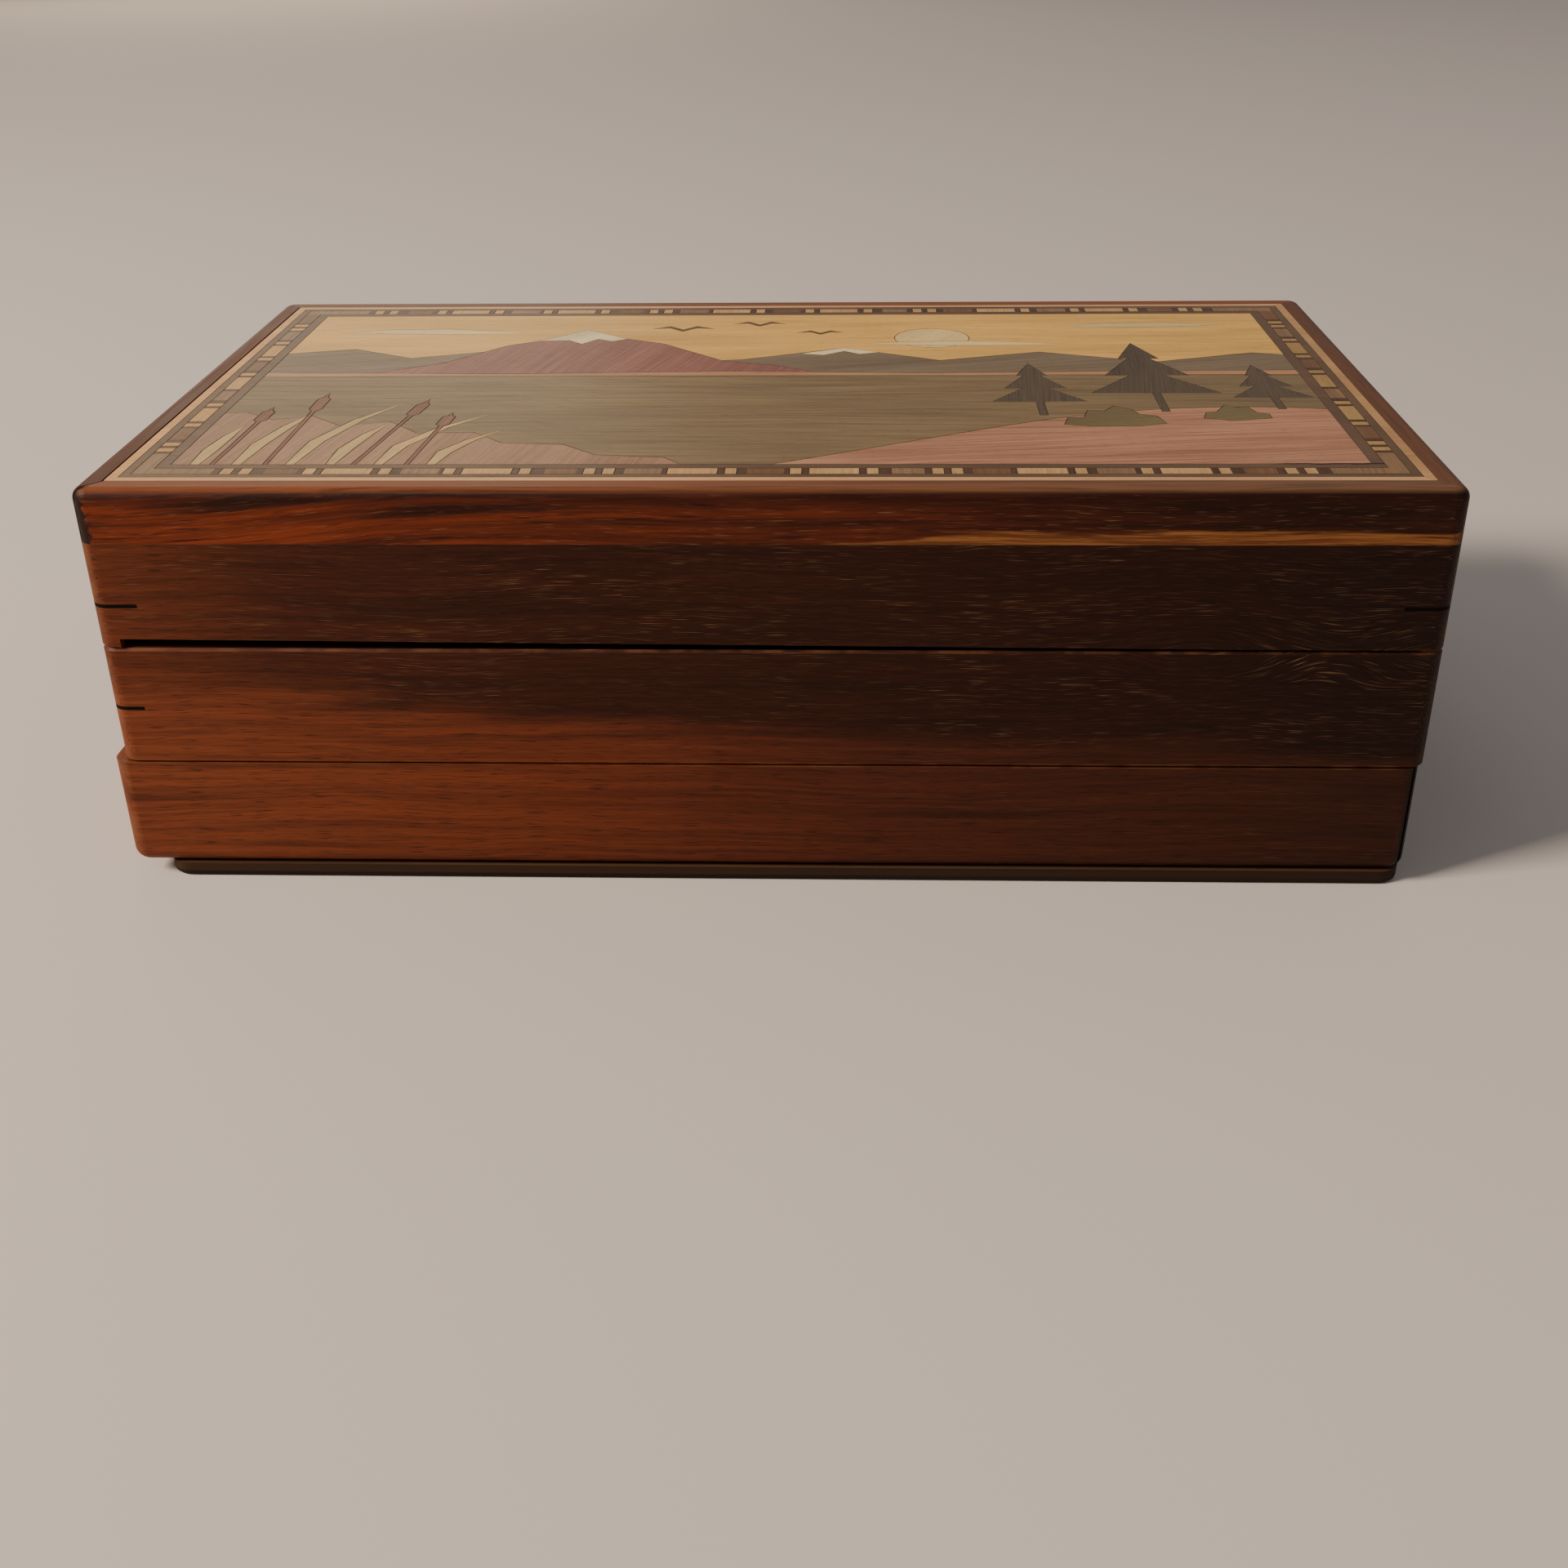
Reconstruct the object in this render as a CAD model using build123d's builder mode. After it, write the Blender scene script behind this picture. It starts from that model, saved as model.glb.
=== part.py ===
from build123d import *
import math
import os

os.makedirs("parts", exist_ok=True)

# Driving sizes in millimetres. X is the length, -Y is the front, Z is up, the table is at Z = 0.

# Carcass, sawn from one block of boards into two trays and a lid
length = 250.0
depth = 142.0
wall = 9.0
corner_round = 3.2
lower_height = 22.8
upper_height = 24.0
rim_height = 20.8
frame_height = 10.2
edge_ease = 0.5
top_round = 2.2
foot_round = 2.9

# Lower tray, slipped sideways on its own board and the others, with one mitre that has opened
lower_length = 251.4
lower_slip = -1.4
lower_mitre_gap = 0.9

# Boards that close the trays from below
base_thick = 3.0
base_inset = 4.6
floor_thick = 3.0
floor_rise = 3.0
floor_tongue = 1.6
floor_play = 0.2

# Lid: mitred frame rebated round a panel, with one frame strip that has shrunk away
frame_show_side = 5.0
frame_show_front = 5.4
panel_rebate = 5.2
shrink_gap = 0.35
frame_mitre_gap = 0.4
relief_left = 2.0
relief_right = 0.25
relief_end = 4.5

# Thin keys across the mitred corners
key_thick = 0.75
rim_key_reach = 9.0
rim_key_rise = 8.6
upper_key_reach = 6.6
upper_key_rise = 11.6

# Butt hinges let into the back edges, with bevels that stop each leaf
hinge_length = 24.0
hinge_end = 33.0
hinge_inset = 2.5
barrel_radius = 1.9
barrel_clearance = 0.3
leaf_thick = 1.0
leaf_margin = 1.0
leaf_fit = 0.1
knuckle_count = 3
knuckle_gap = 0.12
pin_radius = 0.8
pin_fit = 0.05
lid_stop = 101.0
tray_stop = 76.0

# Veneers of the lid, from the rim inwards
veneer_thick = 0.6
string_width = 2.0
outer_line_width = 1.7
block_band = 3.3
inner_line_width = 2.3
block_narrow = 2.2
block_wide = 9.2
block_space = 1.3
long_border_margin = 20.0
short_border_margin = 17.0

# Levels and places worked out from the sizes above
lower_bottom = base_thick
tray_seam = lower_bottom + lower_height
lid_seam = tray_seam + upper_height
rim_top = lid_seam + rim_height
lid_top = rim_top + frame_height
half_length = length / 2
half_depth = depth / 2
axis_y = half_depth - hinge_inset
beyond = 2 * wall
panel_length = length - 2 * frame_show_side
panel_depth = depth - 2 * frame_show_front
veneer_bottom = lid_top - veneer_thick
panel_bottom = lid_top - panel_rebate
hinge_middle = half_length - hinge_end - hinge_length / 2
hinge_places = (-hinge_middle, hinge_middle)


def keep(piece, label):
    piece.part.label = label
    export_step(piece.part, f"parts/{label}.step")


def wedge(side, long, x_middle=0.0):
    """Plan of one side of a mitred tier: its edges are the mitres at 45 degrees."""
    end_x = long / 2 + beyond
    end_y = half_depth + beyond
    ridge_x = long / 2 - half_depth
    corners = {
        "front": [(-end_x, -end_y), (end_x, -end_y), (ridge_x, 0), (-ridge_x, 0)],
        "back": [(-end_x, end_y), (-ridge_x, 0), (ridge_x, 0), (end_x, end_y)],
        "left": [(-end_x, -end_y), (-ridge_x, 0), (-end_x, end_y)],
        "right": [(end_x, -end_y), (end_x, end_y), (ridge_x, 0)],
    }[side]
    with BuildSketch() as plan:
        with BuildLine():
            Polyline([(x + x_middle, y) for x, y in corners], close=True)
        make_face()
    return plan.sketch


def ring(bottom, height, long, x_middle, opening_long, opening_deep):
    """A rounded tier before it is cut at its mitres."""
    with BuildPart() as tier:
        with BuildSketch(Plane.XY.offset(bottom)):
            with Locations((x_middle, 0)):
                RectangleRounded(long, depth, corner_round)
                Rectangle(opening_long, opening_deep, mode=Mode.SUBTRACT)
        extrude(amount=height)
    return tier.part


def eased(tier, cut, top=0.0, bottom=0.0):
    """Rounds or planes off the outer edges of a tier, each by its own size."""
    with BuildPart() as worked:
        add(tier)
        if top:
            cut(worked.faces().sort_by(Axis.Z)[-1].outer_wire().edges(), top)
        if bottom:
            cut(worked.faces().sort_by(Axis.Z)[0].outer_wire().edges(), bottom)
    return worked.part


def hinge_cuts(tier, seam, up, stop):
    """Bevel, barrel troughs and leaf mortises on one side of a seam."""
    bevel_rise = (hinge_inset + wall) * math.tan(math.radians(stop / 2))
    bevel_out = half_depth + wall
    leaf_inner = half_depth - wall + leaf_margin
    with BuildPart() as cut:
        add(tier)
        with BuildSketch(Plane.YZ.offset(-length)):
            with BuildLine():
                Polyline([(axis_y, seam), (bevel_out, seam), (bevel_out, seam + up * bevel_rise)],
                         close=True)
            make_face()
        extrude(amount=2 * length, mode=Mode.SUBTRACT)
        for place in hinge_places:
            start = place - hinge_length / 2 - leaf_fit
            with BuildSketch(Plane.YZ.offset(start)):
                with Locations((axis_y, seam)):
                    Circle(barrel_radius + barrel_clearance)
                mortise_y = (leaf_inner - leaf_fit + axis_y) / 2
                with Locations((mortise_y, seam + up * leaf_thick / 2)):
                    Rectangle(axis_y - leaf_inner + leaf_fit, leaf_thick)
            extrude(amount=hinge_length + 2 * leaf_fit, mode=Mode.SUBTRACT)
    return cut.part


def key_plan(corner_x, corner_y, reach):
    """A corner of the rounded outline, cut off along a line square to the mitre."""
    inward_x = -math.copysign(reach, corner_x)
    inward_y = -math.copysign(reach, corner_y)
    with BuildSketch() as plan:
        RectangleRounded(length, depth, corner_round)
        with BuildLine():
            Polyline([(corner_x, corner_y), (corner_x + inward_x, corner_y),
                      (corner_x, corner_y + inward_y)], close=True)
        make_face(mode=Mode.INTERSECT)
    return plan.sketch


def keyed(tier, plans, level):
    """Saws the slots for the corner keys into a tier."""
    with BuildPart() as slotted:
        add(tier)
        with BuildSketch(Plane.XY.offset(level - key_thick / 2)):
            for plan in plans:
                add(plan)
        extrude(amount=key_thick, mode=Mode.SUBTRACT)
    return slotted.part


def corner_keys(label, plans, level):
    with BuildPart() as keys:
        with BuildSketch(Plane.XY.offset(level - key_thick / 2)):
            for plan in plans:
                add(plan)
        extrude(amount=key_thick)
    keep(keys, label)


def mitred_board(label, tier, side, long, x_middle=0.0, gap=None):
    """One board of a tier, from mitre to mitre. A gap is a strip planed off one mitre."""
    with BuildPart() as board:
        add(tier)
        with BuildSketch():
            add(wedge(side, long, x_middle))
        extrude(amount=2 * lid_top, mode=Mode.INTERSECT)
        if gap:
            with BuildSketch():
                with BuildLine():
                    Polyline(gap, close=True)
                make_face()
            extrude(amount=2 * lid_top, mode=Mode.SUBTRACT)
    keep(board, label)


# Lower tray
lower_ring = ring(lower_bottom, lower_height, lower_length, lower_slip,
                  lower_length - 2 * wall, depth - 2 * wall)
lower_ring = eased(lower_ring, fillet, bottom=foot_round)
lower_ring = hinge_cuts(lower_ring, tray_seam, -1, tray_stop)
lower_corner_x = lower_slip + lower_length / 2 + beyond
lower_gap = [(lower_corner_x, -half_depth - beyond), (lower_corner_x - half_depth - beyond, 0),
             (lower_corner_x - half_depth - beyond - lower_mitre_gap, 0),
             (lower_corner_x - lower_mitre_gap, -half_depth - beyond)]
for side in ("front", "back", "left", "right"):
    mitred_board(f"lower_{side}", lower_ring, side, lower_length, lower_slip,
                 lower_gap if side == "front" else None)

with BuildPart() as base_board:
    with BuildSketch():
        Rectangle(lower_length - 2 * base_inset, depth - 2 * base_inset)
    extrude(amount=base_thick)
keep(base_board, "base_board")

# Upper tray, grooved round its thin floor
upper_inner_long = length - 2 * wall
upper_inner_deep = depth - 2 * wall
floor_bottom = tray_seam + floor_rise
upper_ring = ring(tray_seam, upper_height, length, 0, upper_inner_long, upper_inner_deep)
upper_ring = eased(upper_ring, chamfer, top=edge_ease, bottom=edge_ease)
with BuildPart() as grooved:
    add(upper_ring)
    with BuildSketch(Plane.XY.offset(floor_bottom)):
        Rectangle(upper_inner_long + 2 * floor_tongue, upper_inner_deep + 2 * floor_tongue)
    extrude(amount=floor_thick, mode=Mode.SUBTRACT)
upper_ring = hinge_cuts(grooved.part, tray_seam, 1, tray_stop)
upper_ring = hinge_cuts(upper_ring, lid_seam, -1, lid_stop)
upper_key_level = tray_seam + upper_key_rise
upper_key_plans = [key_plan(-half_length, -half_depth, upper_key_reach)]
upper_ring = keyed(upper_ring, upper_key_plans, upper_key_level)
for side in ("front", "back", "left", "right"):
    mitred_board(f"upper_{side}", upper_ring, side, length)
corner_keys("upper_corner_key", upper_key_plans, upper_key_level)

with BuildPart() as upper_floor:
    with BuildSketch(Plane.XY.offset(floor_bottom)):
        Rectangle(upper_inner_long + 2 * (floor_tongue - floor_play),
                  upper_inner_deep + 2 * (floor_tongue - floor_play))
    extrude(amount=floor_thick)
keep(upper_floor, "upper_floor")

# Rim of the lid, with a front board whose lower edge has worn hollow
rim_ring = ring(lid_seam, rim_height, length, 0, length - 2 * wall, depth - 2 * wall)
rim_ring = eased(rim_ring, chamfer, bottom=edge_ease)
rim_ring = hinge_cuts(rim_ring, lid_seam, 1, lid_stop)
rim_key_level = lid_seam + rim_key_rise
rim_key_plans = [key_plan(corner_x, -half_depth, rim_key_reach)
                 for corner_x in (-half_length, half_length)]
rim_ring = keyed(rim_ring, rim_key_plans, rim_key_level)
relief_x = half_length - relief_end
with BuildPart() as relieved:
    add(rim_ring)
    with BuildSketch(Plane.XZ.offset(half_depth - wall)):
        with BuildLine():
            Polyline([(-relief_x, lid_seam), (relief_x, lid_seam),
                      (relief_x, lid_seam + relief_right), (-relief_x, lid_seam + relief_left)],
                     close=True)
        make_face()
    extrude(amount=2 * wall, mode=Mode.SUBTRACT)
for side in ("front", "back", "left", "right"):
    mitred_board(f"rim_{side}", relieved.part, side, length)
corner_keys("rim_corner_keys", rim_key_plans, rim_key_level)

# Top frame of the lid, rebated round the panel
frame_ring = ring(rim_top, frame_height, length, 0, length - 2 * wall, depth - 2 * wall)
frame_ring = eased(frame_ring, fillet, top=top_round)
with BuildPart() as rebated:
    add(frame_ring)
    with BuildSketch(Plane.XY.offset(panel_bottom)):
        with Locations((-shrink_gap / 2, 0)):
            Rectangle(panel_length + shrink_gap, panel_depth)
    extrude(amount=panel_rebate, mode=Mode.SUBTRACT)
frame_gap = [(-half_length - beyond, -half_depth - beyond), (half_depth - half_length, 0),
             (half_depth - half_length, frame_mitre_gap),
             (-half_length - beyond, -half_depth - beyond + frame_mitre_gap)]
for side in ("front", "back", "left", "right"):
    mitred_board(f"frame_{side}", rebated.part, side, length,
                 gap=frame_gap if side == "left" else None)

with BuildPart() as lid_panel:
    with BuildSketch(Plane.XY.offset(panel_bottom)):
        Rectangle(panel_length, panel_depth)
    extrude(amount=panel_rebate - veneer_thick)
keep(lid_panel, "lid_panel")


# Veneers laid on the panel, each let into the others like a jigsaw
block_inset = string_width + outer_line_width
line_inset = block_inset + block_band
picture_inset = line_inset + inner_line_width
picture_long = panel_length - 2 * picture_inset
picture_deep = panel_depth - 2 * picture_inset
groups = {
    "pair": (block_narrow, block_narrow),
    "duo": (block_wide, block_narrow),
    "triple": (block_narrow, block_wide, block_narrow),
}
long_rhythm = ("pair", "triple", "triple", "pair", "duo", "triple", "pair", "duo", "triple", "pair")
short_rhythm = ("pair", "triple", "duo", "triple", "pair")


def blocks_along(rhythm, span):
    """Middle and width of each block of a border, its groups spread evenly over the span."""
    group_spans = [sum(groups[name]) + block_space * (len(groups[name]) - 1) for name in rhythm]
    group_gap = (span - sum(group_spans)) / (len(rhythm) - 1)
    blocks = []
    start = -span / 2
    for name in rhythm:
        for width in groups[name]:
            blocks.append((start + width / 2, width))
            start += width + block_space
        start += group_gap - block_space
    return blocks


def block_row(rhythm, span, offset):
    with BuildSketch() as row:
        for middle, width in blocks_along(rhythm, span):
            with Locations((middle, -offset), (middle, offset)):
                Rectangle(width, block_band)
    return row.sketch


def border(label, outer, inner, cut_out=None):
    """A frame of veneer between two insets from the panel's edge."""
    with BuildPart() as band:
        with BuildSketch(Plane.XY.offset(veneer_bottom)):
            Rectangle(panel_length - 2 * outer, panel_depth - 2 * outer)
            Rectangle(panel_length - 2 * inner, panel_depth - 2 * inner, mode=Mode.SUBTRACT)
            if cut_out:
                add(cut_out, mode=Mode.SUBTRACT)
        extrude(amount=veneer_thick)
    keep(band, label)


band_middle = block_inset + block_band / 2
long_row = block_row(long_rhythm, panel_length - 2 * long_border_margin, panel_depth / 2 - band_middle)
short_row = block_row(short_rhythm, panel_depth - 2 * short_border_margin,
                      panel_length / 2 - band_middle)
with BuildSketch() as block_plan:
    add(long_row)
    add(short_row.rotate(Axis.Z, 90))
border("stringing", 0, string_width)
border("outer_line", string_width, block_inset)
border("block_ground", block_inset, line_inset, block_plan.sketch)
border("inner_line", line_inset, picture_inset)
with BuildPart() as border_blocks:
    with BuildSketch(Plane.XY.offset(veneer_bottom)):
        add(block_plan.sketch)
    extrude(amount=veneer_thick)
keep(border_blocks, "border_blocks")


def spot(across, up):
    """A place on the picture, from -1 to 1 across it and from -1 to 1 up it."""
    return across * picture_long / 2, up * picture_deep / 2


def outline(points, smooth=False):
    """A cut line for a motif, closed along straight runs that the other motifs cover."""
    with BuildSketch() as shape:
        with BuildLine():
            if smooth:
                crest = Spline(points, mode=Mode.PRIVATE)
                cuts = [crest @ (cut / crest_cuts) for cut in range(crest_cuts + 1)]
                Polyline([(points[0][0], -picture_deep)] + cuts + [(points[-1][0], -picture_deep)],
                         close=True)
            else:
                Polyline(points, close=True)
        make_face()
    return shape.sketch


def veneer(label, shape, in_front):
    """One motif, trimmed to the picture and cut away where other motifs lie before it."""
    with BuildPart() as piece:
        with BuildSketch(Plane.XY.offset(veneer_bottom)):
            Rectangle(picture_long, picture_deep)
            if shape:
                add(shape, mode=Mode.INTERSECT)
            for other in in_front:
                add(other, mode=Mode.SUBTRACT)
        extrude(amount=veneer_thick)
    keep(piece, label)


# Picture: a lake below mountains, with pines on a hill to the right and a bank of bulrushes to the left.
# Places are given as parts of the picture's half length and half depth.
past_edge = 1.1
crest_cuts = 30
shore = 0.06
bank_top = 0.12
bank_dip = 0.09
sun_radius = 8.5
sun_sides = 32
pine_tiers = 3
pine_taper = 0.28
pine_trunk_width = 1.6
pine_places = [(0.49, -0.46, 0.34), (0.71, -0.42, 0.47), (0.92, -0.39, 0.29)]
pine_spread = 0.25
reed_places = [(-0.96, 0.02, 0.44), (-0.89, 0.06, 0.61), (-0.8, 0.12, 0.72), (-0.73, 0.05, 0.47),
               (-0.65, 0.14, 0.57), (-0.56, 0.09, 0.38)]
reed_blade = [(-0.05, 1.6), (0.35, 3.0), (0.7, 2.2)]
bulrush_places = [(-0.93, 0.01, 0.66), (-0.84, 0, 0.84), (-0.69, 0.05, 0.76), (-0.6, 0.02, 0.59)]
stem_width = 0.9
head_width = 2.6
head_start = 0.72
head_end = 0.93
head_taper = 0.03
bird_places = [(-0.21, 0.74, 7.5), (-0.05, 0.82, 6.5), (0.08, 0.68, 5.6)]
bird_bend = 0.42
bird_rise = 0.55
bird_tip = 0.2
bird_dip = 0.14
bird_thick = 0.24

with BuildSketch() as sun:
    with Locations(spot(0.31, 0.61)):
        RegularPolygon(sun_radius, sun_sides)

far_crest = [(-past_edge, 0.34), (-0.87, 0.46), (-0.74, 0.32), (-0.59, 0.42), (-0.36, 0.2),
             (-0.07, 0.29), (0.13, 0.46), (0.32, 0.27), (0.52, 0.39), (0.74, 0.24), (0.94, 0.37),
             (past_edge, 0.29)]
near_crest = [(-0.83, shore), (-0.67, 0.24), (-0.56, 0.51), (-0.5, 0.58), (-0.41, 0.76), (-0.32, 0.61),
              (-0.24, 0.53), (-0.11, 0.27), (0, 0.2), (0.11, shore)]
peak_snow = [(-0.5, 0.58), (-0.41, 0.76), (-0.32, 0.61), (-0.35, 0.57), (-0.38, 0.61), (-0.41, 0.53),
             (-0.44, 0.59)]
far_snow = [(0.045, 0.375), (0.13, 0.46), (0.2, 0.391), (0.16, 0.365), (0.13, 0.41), (0.09, 0.35)]
hill_crest = [(-0.11, -1.12), (0.13, -0.88), (0.34, -0.66), (0.56, -0.46), (0.79, -0.37), (past_edge, -0.44)]
reed_crest = [(-past_edge, -0.45), (-0.96, -0.41), (-0.9, -0.5), (-0.83, -0.46), (-0.77, -0.57), (-0.68, -0.53),
              (-0.62, -0.66), (-0.52, -0.65), (-0.46, -0.77), (-0.35, -0.79), (-0.29, -0.9), (-0.17, -0.93),
              (-0.1, -past_edge)]
low_cloud = [(0.17, 0.52), (0.25, 0.55), (0.38, 0.56), (0.5, 0.54), (0.56, 0.51), (0.42, 0.49), (0.26, 0.5)]
left_cloud = [(-0.94, 0.72), (-0.84, 0.77), (-0.71, 0.78), (-0.6, 0.74), (-0.53, 0.71), (-0.7, 0.69)]
right_cloud = [(0.58, 0.8), (0.68, 0.84), (0.81, 0.85), (0.93, 0.82), (0.87, 0.79), (0.7, 0.77)]
low_shrub = [(0.52, -0.57), (0.53, -0.49), (0.56, -0.48), (0.57, -0.4), (0.6, -0.41), (0.62, -0.35),
             (0.65, -0.39), (0.66, -0.45), (0.69, -0.47), (0.7, -0.56), (0.65, -0.59), (0.57, -0.59)]
high_shrub = [(0.77, -0.5), (0.78, -0.43), (0.8, -0.42), (0.82, -0.34), (0.84, -0.37), (0.86, -0.36),
              (0.87, -0.43), (0.89, -0.45), (0.89, -0.5), (0.82, -0.53)]
bank_line = [(-past_edge, bank_top), (-0.54, bank_dip), (-0.13, bank_top), (0.27, bank_dip),
             (past_edge, bank_top)]


def drawn(*points):
    return outline([spot(across, up) for across, up in points])


far_ridge = drawn((-past_edge, shore), *far_crest, (past_edge, shore))
near_ridge = drawn(*near_crest)
snow = drawn(*peak_snow)
snow_low = drawn(*far_snow)
bank = drawn(*bank_line, (past_edge, shore), (-past_edge, shore))
hill = outline([spot(across, up) for across, up in hill_crest], smooth=True)
lake = drawn((-past_edge, shore), (past_edge, shore), (past_edge, -past_edge), (-past_edge, -past_edge))


def pine(across, up, tall):
    """A pine of stacked skirts on a short trunk, its right side worked out as a mirror image."""
    middle, foot = spot(across, up)
    height = tall * picture_deep
    tier_height = height / (pine_tiers + 1)
    left_side = [(-pine_trunk_width / 2, 0), (-pine_trunk_width / 2, tier_height)]
    for tier in range(pine_tiers):
        level = tier_height * (tier + 1)
        reach = pine_spread * height * (pine_tiers - tier) / pine_tiers
        left_side.append((-reach, level))
        left_side.append((-reach * pine_taper, level + tier_height))
    left_side[-1] = (0, height)
    right_side = [(-x, y) for x, y in reversed(left_side[:-1])]
    return outline([(middle + x, foot + y) for x, y in left_side + right_side])


def reed(across, lean, tall):
    """A leaf blade that is widest a third of the way up and bends over towards its tip."""
    foot_x, foot_y = spot(across, -1)
    tip_x, tip_y = spot(across + lean, tall - 1)
    blade = [(foot_x + (tip_x - foot_x) * share ** 2, foot_y + (tip_y - foot_y) * share, width / 2)
                   for share, width in reed_blade]
    left_side = [(x - half, y) for x, y, half in blade]
    right_side = [(x + half, y) for x, y, half in reversed(blade)]
    return outline(left_side + [(tip_x, tip_y)] + right_side)


def bulrush(across, lean, tall):
    """A thin stem with a long seed head near its tip."""
    foot_x, foot_y = spot(across, -1)
    tip_x, tip_y = spot(across + lean, tall - 1)
    left_side = [(0, stem_width), (head_start, stem_width), (head_start + head_taper, head_width),
                 (head_end - head_taper, head_width), (head_end, stem_width)]
    around = [(share, -width / 2) for share, width in left_side] + [(1, 0)]
    around += [(share, width / 2) for share, width in reversed(left_side)]
    return outline([(foot_x + (tip_x - foot_x) * share + offset, foot_y + (tip_y - foot_y) * share)
                    for share, offset in around])


def bird(across, up, span):
    """Two wings that rise from the body, bend and droop to their tips."""
    x, y = spot(across, up)
    wing = [(bird_bend, bird_rise), (1, bird_tip), (bird_bend, bird_rise - bird_thick)]
    other_wing = [(-right, rise) for right, rise in reversed(wing)]
    around = [(0, bird_dip)] + wing + [(0, bird_dip - bird_thick)] + other_wing
    return outline([(x + right * span, y + rise * span) for right, rise in around])


with BuildSketch() as pine_plan:
    for place in pine_places:
        add(pine(*place))
with BuildSketch() as reed_plan:
    for place in reed_places:
        add(reed(*place))
with BuildSketch() as bird_plan:
    for place in bird_places:
        add(bird(*place))
with BuildSketch() as snow_plan:
    add(snow)
    add(snow_low)
with BuildSketch() as bulrush_plan:
    for place in bulrush_places:
        add(bulrush(*place))
with BuildSketch() as cloud_plan:
    for cloud in (low_cloud, left_cloud, right_cloud):
        add(drawn(*cloud))
with BuildSketch() as shrub_plan:
    for shrub in (low_shrub, high_shrub):
        add(drawn(*shrub))

pines = pine_plan.sketch
reeds = reed_plan.sketch
birds = bird_plan.sketch
snow_caps = snow_plan.sketch
bulrushes = bulrush_plan.sketch
clouds = cloud_plan.sketch
shrubs = shrub_plan.sketch
reed_bank = drawn((-past_edge, -past_edge), *reed_crest)
land = [near_ridge, far_ridge, bank, lake, hill]
veneer("sky", None, [sun.sketch, birds, pines, reeds, clouds, snow_caps] + land)
veneer("sun", sun.sketch, [pines, clouds])
veneer("clouds", clouds, [])
veneer("birds", birds, [])
veneer("snow_caps", snow_caps, [])
veneer("near_ridge", near_ridge, [snow, pines, reeds, bank, lake])
veneer("far_ridge", far_ridge, [near_ridge, snow_caps, pines, reeds, bank, lake])
veneer("far_bank", bank, [pines, reeds, lake, hill])
veneer("lake", lake, [pines, shrubs, reeds, bulrushes, reed_bank, hill])
veneer("hill", hill, [pines, shrubs, reed_bank])
veneer("pines", pines, [shrubs])
veneer("shrubs", shrubs, [])
veneer("reed_bank", reed_bank, [reeds, bulrushes])
veneer("reeds", reeds, [bulrushes])
veneer("bulrushes", bulrushes, [])


# Hinges: each seam has two leaves and a pin at each place
def hinge_leaf(label, place, seam, up, own_knuckles):
    """A leaf let flush into its board, with knuckles on every other step of the barrel."""
    inner = half_depth - wall + leaf_margin
    outer = axis_y - barrel_radius - barrel_clearance
    start = place - hinge_length / 2
    step = hinge_length / knuckle_count
    with BuildPart() as leaf:
        with BuildSketch(Plane.YZ.offset(start)):
            with Locations(((inner + outer) / 2, seam + up * leaf_thick / 2)):
                Rectangle(outer - inner, leaf_thick)
        extrude(amount=hinge_length)
        for knuckle in own_knuckles:
            with BuildSketch(Plane.YZ.offset(start + knuckle * step + knuckle_gap / 2)):
                with Locations((axis_y, seam)):
                    Circle(barrel_radius)
                with Locations(((inner + axis_y) / 2, seam + up * leaf_thick / 2)):
                    Rectangle(axis_y - inner, leaf_thick)
            extrude(amount=step - knuckle_gap)
        with BuildSketch(Plane.YZ.offset(start)):
            with Locations((axis_y, seam)):
                Circle(pin_radius + pin_fit)
        extrude(amount=hinge_length, mode=Mode.SUBTRACT)
    keep(leaf, label)


def hinge_pin(label, place, seam):
    with BuildPart() as pin:
        with BuildSketch(Plane.YZ.offset(place - hinge_length / 2)):
            with Locations((axis_y, seam)):
                Circle(pin_radius)
        extrude(amount=hinge_length)
    keep(pin, label)


fixed_knuckles = range(0, knuckle_count, 2)
moving_knuckles = range(1, knuckle_count, 2)
for hand, place in zip(("left", "right"), hinge_places):
    hinge_leaf(f"tray_hinge_fixed_{hand}", place, tray_seam, -1, fixed_knuckles)
    hinge_leaf(f"tray_hinge_moving_{hand}", place, tray_seam, 1, moving_knuckles)
    hinge_pin(f"tray_hinge_pin_{hand}", place, tray_seam)
    hinge_leaf(f"lid_hinge_fixed_{hand}", place, lid_seam, -1, fixed_knuckles)
    hinge_leaf(f"lid_hinge_moving_{hand}", place, lid_seam, 1, moving_knuckles)
    hinge_pin(f"lid_hinge_pin_{hand}", place, lid_seam)
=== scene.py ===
import math

import bmesh
import bpy
from mathutils import Matrix, Vector


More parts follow.
